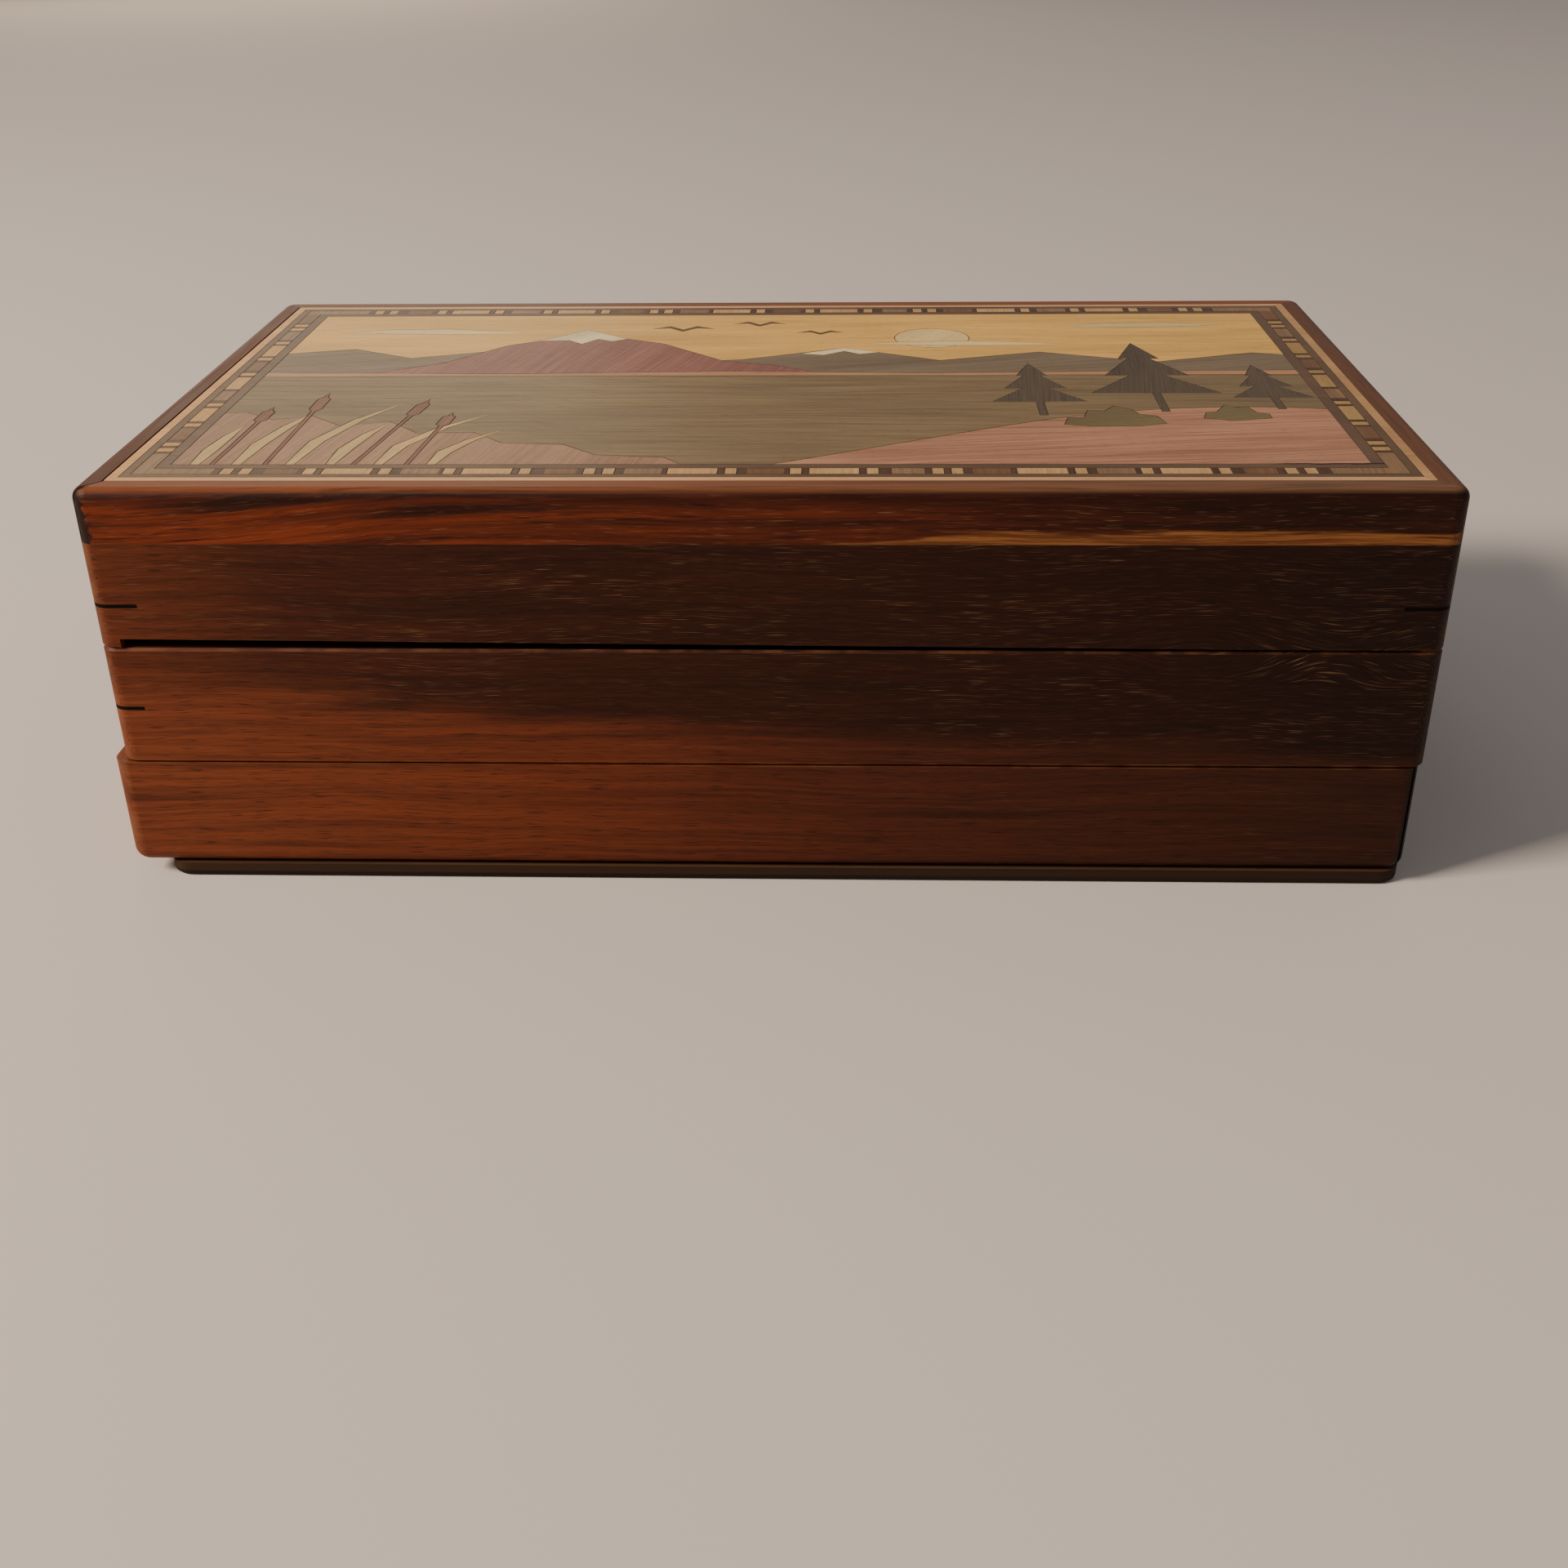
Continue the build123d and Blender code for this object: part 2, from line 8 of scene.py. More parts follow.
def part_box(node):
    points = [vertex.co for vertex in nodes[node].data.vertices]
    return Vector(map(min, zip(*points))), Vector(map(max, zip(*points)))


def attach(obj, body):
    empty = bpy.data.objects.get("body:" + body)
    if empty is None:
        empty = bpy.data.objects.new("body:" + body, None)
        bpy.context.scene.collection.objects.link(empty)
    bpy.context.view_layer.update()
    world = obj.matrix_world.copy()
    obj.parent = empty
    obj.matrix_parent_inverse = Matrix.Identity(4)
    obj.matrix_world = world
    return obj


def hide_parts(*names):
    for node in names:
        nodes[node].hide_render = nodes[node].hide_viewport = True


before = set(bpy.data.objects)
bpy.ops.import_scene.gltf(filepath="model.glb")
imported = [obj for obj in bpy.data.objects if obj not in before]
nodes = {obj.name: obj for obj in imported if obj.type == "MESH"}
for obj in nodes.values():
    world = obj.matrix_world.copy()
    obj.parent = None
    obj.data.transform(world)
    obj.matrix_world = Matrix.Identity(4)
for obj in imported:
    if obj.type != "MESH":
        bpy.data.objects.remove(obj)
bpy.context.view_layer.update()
print("loaded", len(nodes), "nodes")

mm = 0.001
halfSize = (125 * mm, 71 * mm)  # of the box in plan
mitreLine = halfSize[0] - halfSize[1]  # |x| - |y| along the mitres


# Helpers that every finish and piece uses

def hexColor(text, alpha=1.0):  # sRGB hex to the linear colour that a shader takes
    channels = [int(text[i:i + 2], 16) / 255 for i in (1, 3, 5)]
    linear = [c / 12.92 if c <= 0.04045 else ((c + 0.055) / 1.055) ** 2.4 for c in channels]
    return (*linear, alpha)


def newMaterial(name):
    material = bpy.data.materials.new(name)
    material.use_nodes = True
    material.node_tree.nodes.clear()
    return material, material.node_tree


def addNode(tree, kind, inputs=None, stops=None, **settings):  # one node with its settings and links
    node = tree.nodes.new(kind)
    for name, value in settings.items():
        setattr(node, name, value)
    if stops:  # colour ramp: (place, colour) pairs
        elements = node.color_ramp.elements
        while len(elements) < len(stops):
            elements.new(0.5)
        for element, (place, color) in zip(elements, stops):
            element.position = place
            element.color = color
    for name, value in (inputs or {}).items():
        if isinstance(value, bpy.types.NodeSocket):
            tree.links.new(value, node.inputs[name])
        else:
            node.inputs[name].default_value = value
    return node


def along(tree, turn=0.0, place=(0, 0, 0)):  # the piece's own coordinates, turned so that X runs with the grain
    coords = addNode(tree, "ShaderNodeTexCoord")
    return addNode(tree, "ShaderNodeMapping", {"Vector": coords.outputs["Object"], "Location": place,
                                               "Rotation": (0, 0, turn)}).outputs["Vector"]


def axesOf(tree, vector=None):  # X, Y and Z of a vector, or else of the piece's own coordinates
    vector = along(tree) if vector is None else vector
    return addNode(tree, "ShaderNodeSeparateXYZ", {"Vector": vector}).outputs


levelFaces = (0.6, 0.8)  # levelness from which a face counts as level


def levelness(tree):  # 1 on level faces, 0 on upright ones
    normal = addNode(tree, "ShaderNodeTexCoord").outputs["Normal"]
    return sums(tree, "ABSOLUTE", axesOf(tree, normal)["Z"])


def fibre(tree, vector, length, width, detail=2.0, roughness=0.5, seed=0.0):  # noise drawn out with the grain
    drawn = addNode(tree, "ShaderNodeMapping", {"Vector": vector, "Location": (seed, seed, seed),
                                                "Scale": (1 / length, 1 / width, 1 / width)})
    return addNode(tree, "ShaderNodeTexNoise", {"Vector": drawn.outputs["Vector"], "Scale": 1.0, "Detail": detail,
                                                "Roughness": roughness}).outputs["Fac"]


def bent(tree, board, lift):  # shifts the figure across the grain, in the plane of upright and of level faces
    onLevel = sums(tree, "MULTIPLY", lift, step(tree, levelness(tree), *levelFaces))
    rise = addNode(tree, "ShaderNodeCombineXYZ", {"Y": onLevel, "Z": sums(tree, "SUBTRACT", lift, onLevel)})
    return addNode(tree, "ShaderNodeVectorMath", {0: board, 1: rise.outputs["Vector"]}, operation="ADD").outputs[0]


def step(tree, value, low, high, least=0.0, most=1.0):  # soft step of a value from one level to another
    return addNode(tree, "ShaderNodeMapRange", {"Value": value, "From Min": low, "From Max": high, "To Min": least,
                                                "To Max": most}, interpolation_type="SMOOTHSTEP").outputs["Result"]


def sums(tree, operation, *values):  # one Math node
    node = tree.nodes.new("ShaderNodeMath")
    node.operation = operation
    for i, value in enumerate(values):
        if isinstance(value, bpy.types.NodeSocket):
            tree.links.new(value, node.inputs[i])
        else:
            node.inputs[i].default_value = value
    return node.outputs[0]


rampLength = 0.26  # metres, a little longer than the longest board


def lengthwise(tree, place, colors):  # colours at places along a board, measured from its middle
    stops = [(at / rampLength + 0.5, hexColor(color)) for at, color in colors]
    share = sums(tree, "MULTIPLY_ADD", place, 1 / rampLength, 0.5)
    return addNode(tree, "ShaderNodeValToRGB", {"Fac": share}, stops=stops).outputs["Color"]


def mixed(tree, share, first, second, kind="MIX"):
    return addNode(tree, "ShaderNodeMix", {"Factor": share, "A": first, "B": second}, data_type="RGBA",
                   blend_type=kind).outputs["Result"]


def scaled(tree, color, tone):  # lighter or darker by one factor
    return addNode(tree, "ShaderNodeVectorMath", {0: color, "Scale": tone}, operation="SCALE").outputs[0]


def swung(tree, noise, size):  # noise about zero, this wide from end to end
    return sums(tree, "MULTIPLY", sums(tree, "SUBTRACT", noise, 0.5), size)


bumpStrength = 0.35


def finish(tree, color, roughness, height, depth, gloss):  # shader and output at the end of a material's nodes
    bump = addNode(tree, "ShaderNodeBump", {"Height": height, "Strength": bumpStrength, "Distance": depth})
    inputs = {"Base Color": color, "Roughness": roughness, "Normal": bump.outputs["Normal"], **gloss}
    shader = addNode(tree, "ShaderNodeBsdfPrincipled", inputs)
    addNode(tree, "ShaderNodeOutputMaterial", {"Surface": shader.outputs["BSDF"]})


def wear(names, material):  # gives CAD nodes their finish
    for name in names:
        for slot in nodes[name].material_slots:
            slot.material = material


# Stage, lights and camera

stageSettings = {
    "paperColor": "#D6C8BD",  # matte paper: an even pale ground with no gloss
    "paperRoughness": 0.9,
    "paperSize": 12.0,
    "skyColor": "#ECEEF4",
    "skyStrength": 0.31,
}

cameraSettings = {  # a tripod shot from above the front edge, turned a little to the right
    "place": (15.7 * mm, -371.2 * mm, 184.4 * mm),
    "pitch": 28.42,  # degrees below level
    "yaw": -2.333,
    "roll": -0.779,
    "lens": 40.73,  # millimetres
    "sensor": 36.0,
    "nearest": 0.01,
}

lampSettings = [  # name, place, aim, size in metres, watts, colour
    ("windowLamp", (-1.38, -0.6, 1.2), (0, 0, 0), 0.5, 47.0, "#FFF3E4"),
    ("hazeLamp", (-0.75, 2.1, 0.56), (-0.05, 0, 0.08), 0.9, 5.0, "#FFE9C8"),
]


def buildStage(settings):
    bpy.ops.object.select_all(action="DESELECT")
    bpy.ops.mesh.primitive_plane_add(size=settings["paperSize"], location=(0, 0, 0))
    floor = bpy.context.object
    floor.name = "floor"
    material, tree = newMaterial("matte backdrop paper")
    shader = addNode(tree, "ShaderNodeBsdfPrincipled",
                     {"Base Color": hexColor(settings["paperColor"]), "Roughness": settings["paperRoughness"]})
    addNode(tree, "ShaderNodeOutputMaterial", {"Surface": shader.outputs["BSDF"]})
    floor.data.materials.append(material)
    world = bpy.data.worlds.new("soft studio")
    world.use_nodes = True
    tree = world.node_tree
    tree.nodes.clear()
    sky = addNode(tree, "ShaderNodeBackground",
                  {"Color": hexColor(settings["skyColor"]), "Strength": settings["skyStrength"]})
    addNode(tree, "ShaderNodeOutputWorld", {"Surface": sky.outputs["Background"]})
    bpy.context.scene.world = world


def buildLamps(lamps):
    for name, place, aim, size, watts, color in lamps:
        data = bpy.data.lights.new(name, "AREA")
        data.energy = watts
        data.size = size
        data.color = hexColor(color)[:3]
        lamp = bpy.data.objects.new(name, data)
        lamp.location = place
        lamp.rotation_euler = (Vector(aim) - Vector(place)).to_track_quat("-Z", "Y").to_euler()
        bpy.context.collection.objects.link(lamp)


def buildCamera(settings):
    data = bpy.data.cameras.new("camera")
    data.lens = settings["lens"]
    data.sensor_width = settings["sensor"]
    data.clip_start = settings["nearest"]
    camera = bpy.data.objects.new("camera", data)
    turn = (Matrix.Rotation(math.radians(-settings["yaw"]), 4, "Z")
            @ Matrix.Rotation(math.radians(90 - settings["pitch"]), 4, "X")
            @ Matrix.Rotation(math.radians(settings["roll"]), 4, "Z"))
    camera.matrix_world = Matrix.Translation(settings["place"]) @ turn
    bpy.context.collection.objects.link(camera)
    bpy.context.scene.camera = camera


buildStage(stageSettings)
buildLamps(lampSettings)
buildCamera(cameraSettings)
print("stage, lamps and camera set")


# Rosewood of the carcass, sawn, sanded and varnished to a satin. All tiers are cut from one set of boards,
# so one figure crosses the seams: dark heartwood above, paler and redder wood below a slanting line.
# Open pores show as short flecks, pale with old filler on the dark wood and dark on the pale.
# Two or four numbers in brackets are a soft step's here: where it starts and ends, then what it gives there.

carcassLook = {
    # tones along the board, pale at the left end and dark at the right: partly the wood's own tone, partly painted
    # shade of the light falling off to the right
    "warm": ((-0.125, "#753A21"), (-0.04, "#672F19"), (0.02, "#4B2213"), (0.115, "#35190E")),  # along the board
    "heart": ((-0.122, "#622E18"), (-0.092, "#451F10"), (-0.04, "#37180B"), (0.115, "#200D07")),
    "level": 34.2 * mm,  # of the slanting line at the board's middle
    "slope": 0.052,
    "ragged": 18 * mm,
    "soft": 3.2 * mm,
    "patchLength": 60 * mm,
    "patchWidth": 7 * mm,
    "broadLength": 90 * mm,
    "broadWidth": 3.4 * mm,
    "broadShow": (0.5, 0.28, 0.0, 0.42),
    "streakLength": 30 * mm,
    "streakWidth": 0.62 * mm,
    "streakTone": (0.3, 0.7, 0.78, 1.22),
    "polish": (0.3, 0.7, 0.4, 0.54),  # roughness on dark and on pale streaks
    "lineLength": 6.0 * mm,
    "lineWidth": 0.2 * mm,
    "lineShow": (0.41, 0.33, 0.0, 0.62),
    "fleckLength": 6.0 * mm,
    "fleckWidth": 0.13 * mm,  # real pores are half as wide, too fine for the render
    "fleckShow": (0.6, 0.72),
    "fleckShare": 0.3,
    "fleckOnHeart": 0.7,  # added to the share where the wood is dark
    "crowdLength": 28 * mm,  # of the stretches where pores stand close
    "crowdWidth": 5 * mm,
    "crowdShow": (0.4, 0.7, 0.1, 0.42),
    "darkLine": "#1C0D07",
    "fleck": "#9A7350",
    "bare": "#7E5135",
    "waveLength": 55 * mm,
    "waveWidth": 25 * mm,
    "waveHeight": 2.2 * mm,
    "bumpDepth": 0.1 * mm,
    "gloss": {"Specular IOR Level": 0.12, "Coat Weight": 0.01, "Coat Roughness": 0.3},
}
knotLook = {
    "middle": (92 * mm, -71 * mm, 49.8 * mm),
    "size": (32 * mm, 50 * mm, 11 * mm),
    "curlLength": 9 * mm,
    "curlWidth": 40 * mm,
    "curlHeight": 3 * mm,
    "slant": 0.42,  # of the grain, down to the seam above it and up to the seam below
    "flecks": 0.8,  # by so much more of them at its middle
}


wearLook = {
    "slipSeam": (25.85 * mm, 25.75 * mm),  # below this seam the lower tray stands to the left
    "slip": 1.4 * mm,
    "corner": (193.4 * mm, 194.1 * mm),  # |x| + |y| on the rounded corners
    "cornerFade": (60 * mm, -60 * mm),  # along the front, weaker towards the dark end
    "cornerLeast": 0.2,
    "seams": (49.8 * mm, 26 * mm),  # their heights
    "besideSeam": (0.6 * mm, 0.3 * mm),
    "foot": (4.4 * mm, 3.4 * mm),
    "upright": (0.9, 0.8),
    "outside": (66 * mm, 67 * mm),
    "patch": 7 * mm,
    "patches": (0.42, 0.64),
    "least": 0.06,
    "most": 0.42,
    "roughness": 0.2,  # added where the polish is off
}
openMitreLook = {  # the lower tray's open mitre at the front right: near-black painted shade along the open joint
    "line": 53.3 * mm,  # x + y along it
    "below": (26.2 * mm, 25.7 * mm),
    "ahead": (-30 * mm, -40 * mm),
    "reach": (2.2 * mm, 1.0 * mm),
    "most": 0.9,
    "gapDark": "#120B08",
}


def wornEdges(tree, raw):  # where hands and the table have rubbed the polish off: corners, seams and foot
    slip = step(tree, raw["Z"], *wearLook["slipSeam"], most=wearLook["slip"])
    across = sums(tree, "ABSOLUTE", sums(tree, "ADD", raw["X"], slip))
    deep = sums(tree, "ABSOLUTE", raw["Y"])
    corner = step(tree, sums(tree, "ADD", across, deep), *wearLook["corner"])
    fade = step(tree, raw["X"], *wearLook["cornerFade"], least=wearLook["cornerLeast"])
    corner = sums(tree, "MULTIPLY", corner, fade)
    level = step(tree, raw["Z"], *wearLook["foot"])
    for seam in wearLook["seams"]:
        off = sums(tree, "ABSOLUTE", sums(tree, "SUBTRACT", raw["Z"], seam))
        level = sums(tree, "MAXIMUM", level, step(tree, off, *wearLook["besideSeam"]))

    # the level edges wear only outside, and not on the faces that meet at a seam
    upright = step(tree, levelness(tree), *wearLook["upright"])
    nearest = sums(tree, "MAXIMUM", sums(tree, "SUBTRACT", across, mitreLine), deep)
    outside = step(tree, nearest, *wearLook["outside"])
    level = sums(tree, "MULTIPLY", sums(tree, "MULTIPLY", level, upright), outside)
    patch = fibre(tree, along(tree), wearLook["patch"], wearLook["patch"], detail=4.0, seed=12.0)
    patch = step(tree, patch, *wearLook["patches"], least=wearLook["least"], most=wearLook["most"])
    return sums(tree, "MULTIPLY", sums(tree, "MAXIMUM", corner, level), patch)


# painted shade along the lower tray's open mitre at the front right
def openMitreShade(tree, raw):
    look = openMitreLook
    off = sums(tree, "ABSOLUTE", sums(tree, "SUBTRACT", sums(tree, "ADD", raw["X"], raw["Y"]), look["line"]))
    inTray = sums(tree, "MULTIPLY", step(tree, raw["Z"], *look["below"]), step(tree, raw["Y"], *look["ahead"]))
    return sums(tree, "MULTIPLY", inTray, step(tree, off, *look["reach"], most=look["most"]))


def rosewood(name, look, turn=0.0, place=(0, 0, 0), knot=None):
    material, tree = newMaterial(name)
    board = along(tree, turn, place)
    axes = axesOf(tree, board)

    # slow waves, and a knot's swirl, that bend every line together
    wave = fibre(tree, board, look["waveLength"], look["waveWidth"], detail=2.0)
    lift = swung(tree, wave, 2 * look["waveHeight"])
    if knot:
        spread = addNode(tree, "ShaderNodeMapping", {
            "Vector": board, "Scale": tuple(1 / size for size in knot["size"]),
            "Location": tuple(-c / size for c, size in zip(knot["middle"], knot["size"]))})
        reach = addNode(tree, "ShaderNodeVectorMath", {0: spread.outputs["Vector"]}, operation="LENGTH")
        near = step(tree, reach.outputs["Value"], 1.0, 0.0)
        curl = fibre(tree, board, knot["curlLength"], knot["curlWidth"], detail=1.0, seed=2.0)
        push = swung(tree, curl, knot["curlHeight"])
        slant = sums(tree, "MULTIPLY", sums(tree, "SUBTRACT", axes["X"], knot["middle"][0]), knot["slant"])
        side = sums(tree, "SIGN", sums(tree, "SUBTRACT", axes["Z"], knot["middle"][2]))
        lift = sums(tree, "MULTIPLY_ADD", sums(tree, "MULTIPLY_ADD", slant, side, push), near, lift)
    grain = bent(tree, board, lift)

    # ground colour: from one end of the board to the other, darker towards the right, partly in the wood and partly as
    # painted shade of the light falling off from the left; heartwood above the slanting line
    warm, heart = lengthwise(tree, axes["X"], look["warm"]), lengthwise(tree, axes["X"], look["heart"])
    patch = fibre(tree, grain, look["patchLength"], look["patchWidth"], detail=3.0, seed=4.0)
    level = sums(tree, "MULTIPLY_ADD", axes["X"], look["slope"], axes["Z"])
    level = sums(tree, "ADD", swung(tree, patch, look["ragged"]), level)
    isHeart = step(tree, level, look["level"] - look["soft"], look["level"] + look["soft"])
    color = mixed(tree, isHeart, warm, heart)

    # broad and fine streaks, then dark lines and pores
    broad = fibre(tree, grain, look["broadLength"], look["broadWidth"], detail=3.0, seed=9.0)
    color = mixed(tree, step(tree, broad, *look["broadShow"]), color, hexColor(look["darkLine"]))
    streak = fibre(tree, grain, look["streakLength"], look["streakWidth"], detail=4.0, roughness=0.6)
    color = scaled(tree, color, step(tree, streak, *look["streakTone"]))
    line = fibre(tree, grain, look["lineLength"], look["lineWidth"], detail=1.0, seed=2.0)
    color = mixed(tree, step(tree, line, *look["lineShow"]), color, hexColor(look["darkLine"]))
    crowd = fibre(tree, grain, look["crowdLength"], look["crowdWidth"], detail=2.0, seed=7.0)
    fleck = fibre(tree, grain, look["fleckLength"], look["fleckWidth"], detail=1.0, seed=5.0)
    share = sums(tree, "MULTIPLY", step(tree, fleck, *look["fleckShow"]), step(tree, crowd, *look["crowdShow"]))
    onWood = sums(tree, "MULTIPLY_ADD", isHeart, look["fleckOnHeart"], look["fleckShare"])
    share = sums(tree, "MULTIPLY", share, onWood)
    if knot:
        share = sums(tree, "MULTIPLY", share, sums(tree, "MULTIPLY_ADD", near, knot["flecks"], 1.0))
    color = mixed(tree, share, color, hexColor(look["fleck"]))

    raw = axesOf(tree)
    worn = wornEdges(tree, raw)
    color = mixed(tree, worn, color, hexColor(look["bare"]))
    # near-black painted shade in the open mitre at the front right
    color = mixed(tree, openMitreShade(tree, raw), color, hexColor(openMitreLook["gapDark"]))
    polish = step(tree, streak, *look["polish"])
    roughness = sums(tree, "MULTIPLY_ADD", worn, wearLook["roughness"], polish)
    finish(tree, color, roughness, sums(tree, "ADD", fleck, line), look["bumpDepth"], look["gloss"])
    return material


tiers = ("lower", "upper", "rim")
# the side boards carry on the tones of the front's two ends, pale on the left and dark on the right: partly the wood,
# partly painted light and shade from the left
leftLook = dict(carcassLook, warm=((-0.071, "#6A3017"), (0.071, "#7A391B")), slope=-0.05, level=35 * mm,
                heart=((-0.071, "#4C2311"), (0.071, "#602D17")))
rightLook = dict(carcassLook, warm=((-0.071, "#5A2A14"), (0.071, "#33170C")), level=27 * mm,
                 heart=((-0.071, "#3A1A0D"), (0.071, "#200D07")))
carcassWoods = {  # each place is another stretch of the figure
    "front": rosewood("rosewood front boards", carcassLook, knot=knotLook),
    "back": rosewood("rosewood back boards", dict(carcassLook, level=36 * mm), turn=math.pi, place=(0, 0.3, 0)),
    "left": rosewood("rosewood left boards", leftLook, turn=math.pi / 2, place=(0, 0.7, 0)),
    "right": rosewood("rosewood right boards", rightLook, turn=math.pi / 2, place=(0, 1.1, 0)),
}
for side, wood in carcassWoods.items():
    wear([f"{tier}_{side}" for tier in tiers], wood)
print("rosewood laid on the carcass")


# Rosewood of the lid's frame: redder, dark streaks above, and a stripe of pale sapwood left on its lower edge.

frameLook = {
    # the red darkens from the left end to the right: partly the wood, partly painted shade of the light falling off to
    # the right
    "redStart": "#6A2B14",
    "redEnd": "#30140A",
    "dark": "#210E07",
    "sap": "#8F5B2F",
    "sapDark": "#63371B",
    "start": -110 * mm,
    "end": 120 * mm,
    "waveLength": 60 * mm,
    "waveWidth": 26 * mm,
    "waveHeight": 1.7 * mm,
    "broadLength": 75 * mm,
    "broadWidth": 2.2 * mm,
    "broadShow": (0.56, 0.36),
    "broadRise": (73 * mm, 77 * mm, 0.35, 0.85),  # more of them towards the top
    "streakLength": 26 * mm,
    "streakWidth": 0.7 * mm,
    "streakTone": (0.28, 0.72, 0.6, 1.45),
    "polish": (0.3, 0.7, 0.4, 0.54),
    "lineLength": 9 * mm,
    "lineWidth": 0.36 * mm,
    "lineShow": (0.38, 0.26, 0.0, 0.7),
    "fleckLength": 5 * mm,
    "fleckWidth": 0.16 * mm,
    "fleckShow": (0.62, 0.76, 0.0, 0.24),
    "sapFrom": -8 * mm,  # where the stripe starts along the front strip
    "sapFull": 45 * mm,
    "sapRise": 2.5 * mm,
    "sapDrop": -1.5 * mm,
    "sapLevel": 70.6 * mm,
    "sapRaggedLength": 22 * mm,
    "sapRaggedWidth": 1.2 * mm,
    "sapRagged": 2.6 * mm,
    "sapStreaks": (0.62, 0.4),
    "sapEdge": (-0.2 * mm, 0.5 * mm, 0.0, 0.92),
    "tiltFrom": -125 * mm,  # the grain climbs over this end
    "tiltTo": -50 * mm,
    "tiltRise": 5 * mm,
    "fleck": "#B5835C",
    "paintedFilletShade": (76.8 * mm, 79.2 * mm, 0.0, 0.6),  # painted shade rising towards the top edge, where the rounding turns away from the light
    "paintedTopHighlight": ("#92522E", "#825C3F"),  # painted highlight on the top, where it catches the light
    # where the painted highlight lies on the top, how streaky it is and how strong
    "paintedHighlightFrom": (79.9 * mm, 80.7 * mm),
    "paintedHighlightStreaks": (0.3, 0.6, 0.55, 1.0),
    "paintedHighlightShare": 0.7,
    "bumpDepth": 0.1 * mm,
    "gloss": {"Specular IOR Level": 0.12, "Coat Weight": 0.02, "Coat Roughness": 0.3},
}
tornMitreLook = {  # the front left mitre has opened: dirty end grain shows along it, darkened to near black as painted shade of the crack
    "tornLength": 1.6 * mm,
    "tornWidth": 0.9 * mm,
    "torn": -5 * mm,
    "above": (78.2 * mm, 80.2 * mm),  # narrower towards the top
    "narrowing": 2.4 * mm,
    "ahead": (-66.5 * mm, -68.5 * mm),
    "reach": (3.4 * mm, 2.2 * mm),
    "most": 0.94,
    "gapDark": "#17100C",
}


def tornMitreGrimeAndShade(tree):
    look = tornMitreLook
    raw = axesOf(tree)
    off = sums(tree, "ABSOLUTE", sums(tree, "ADD", sums(tree, "SUBTRACT", raw["X"], raw["Y"]), mitreLine))
    torn = fibre(tree, along(tree), look["tornLength"], look["tornWidth"], detail=3.0, seed=1.0)
    off = sums(tree, "ADD", swung(tree, torn, look["torn"]), off)
    off = sums(tree, "ADD", off, step(tree, raw["Z"], *look["above"], most=look["narrowing"]))
    atCorner = step(tree, raw["Y"], *look["ahead"], most=look["most"])
    return sums(tree, "MULTIPLY", step(tree, off, *look["reach"]), atCorner)


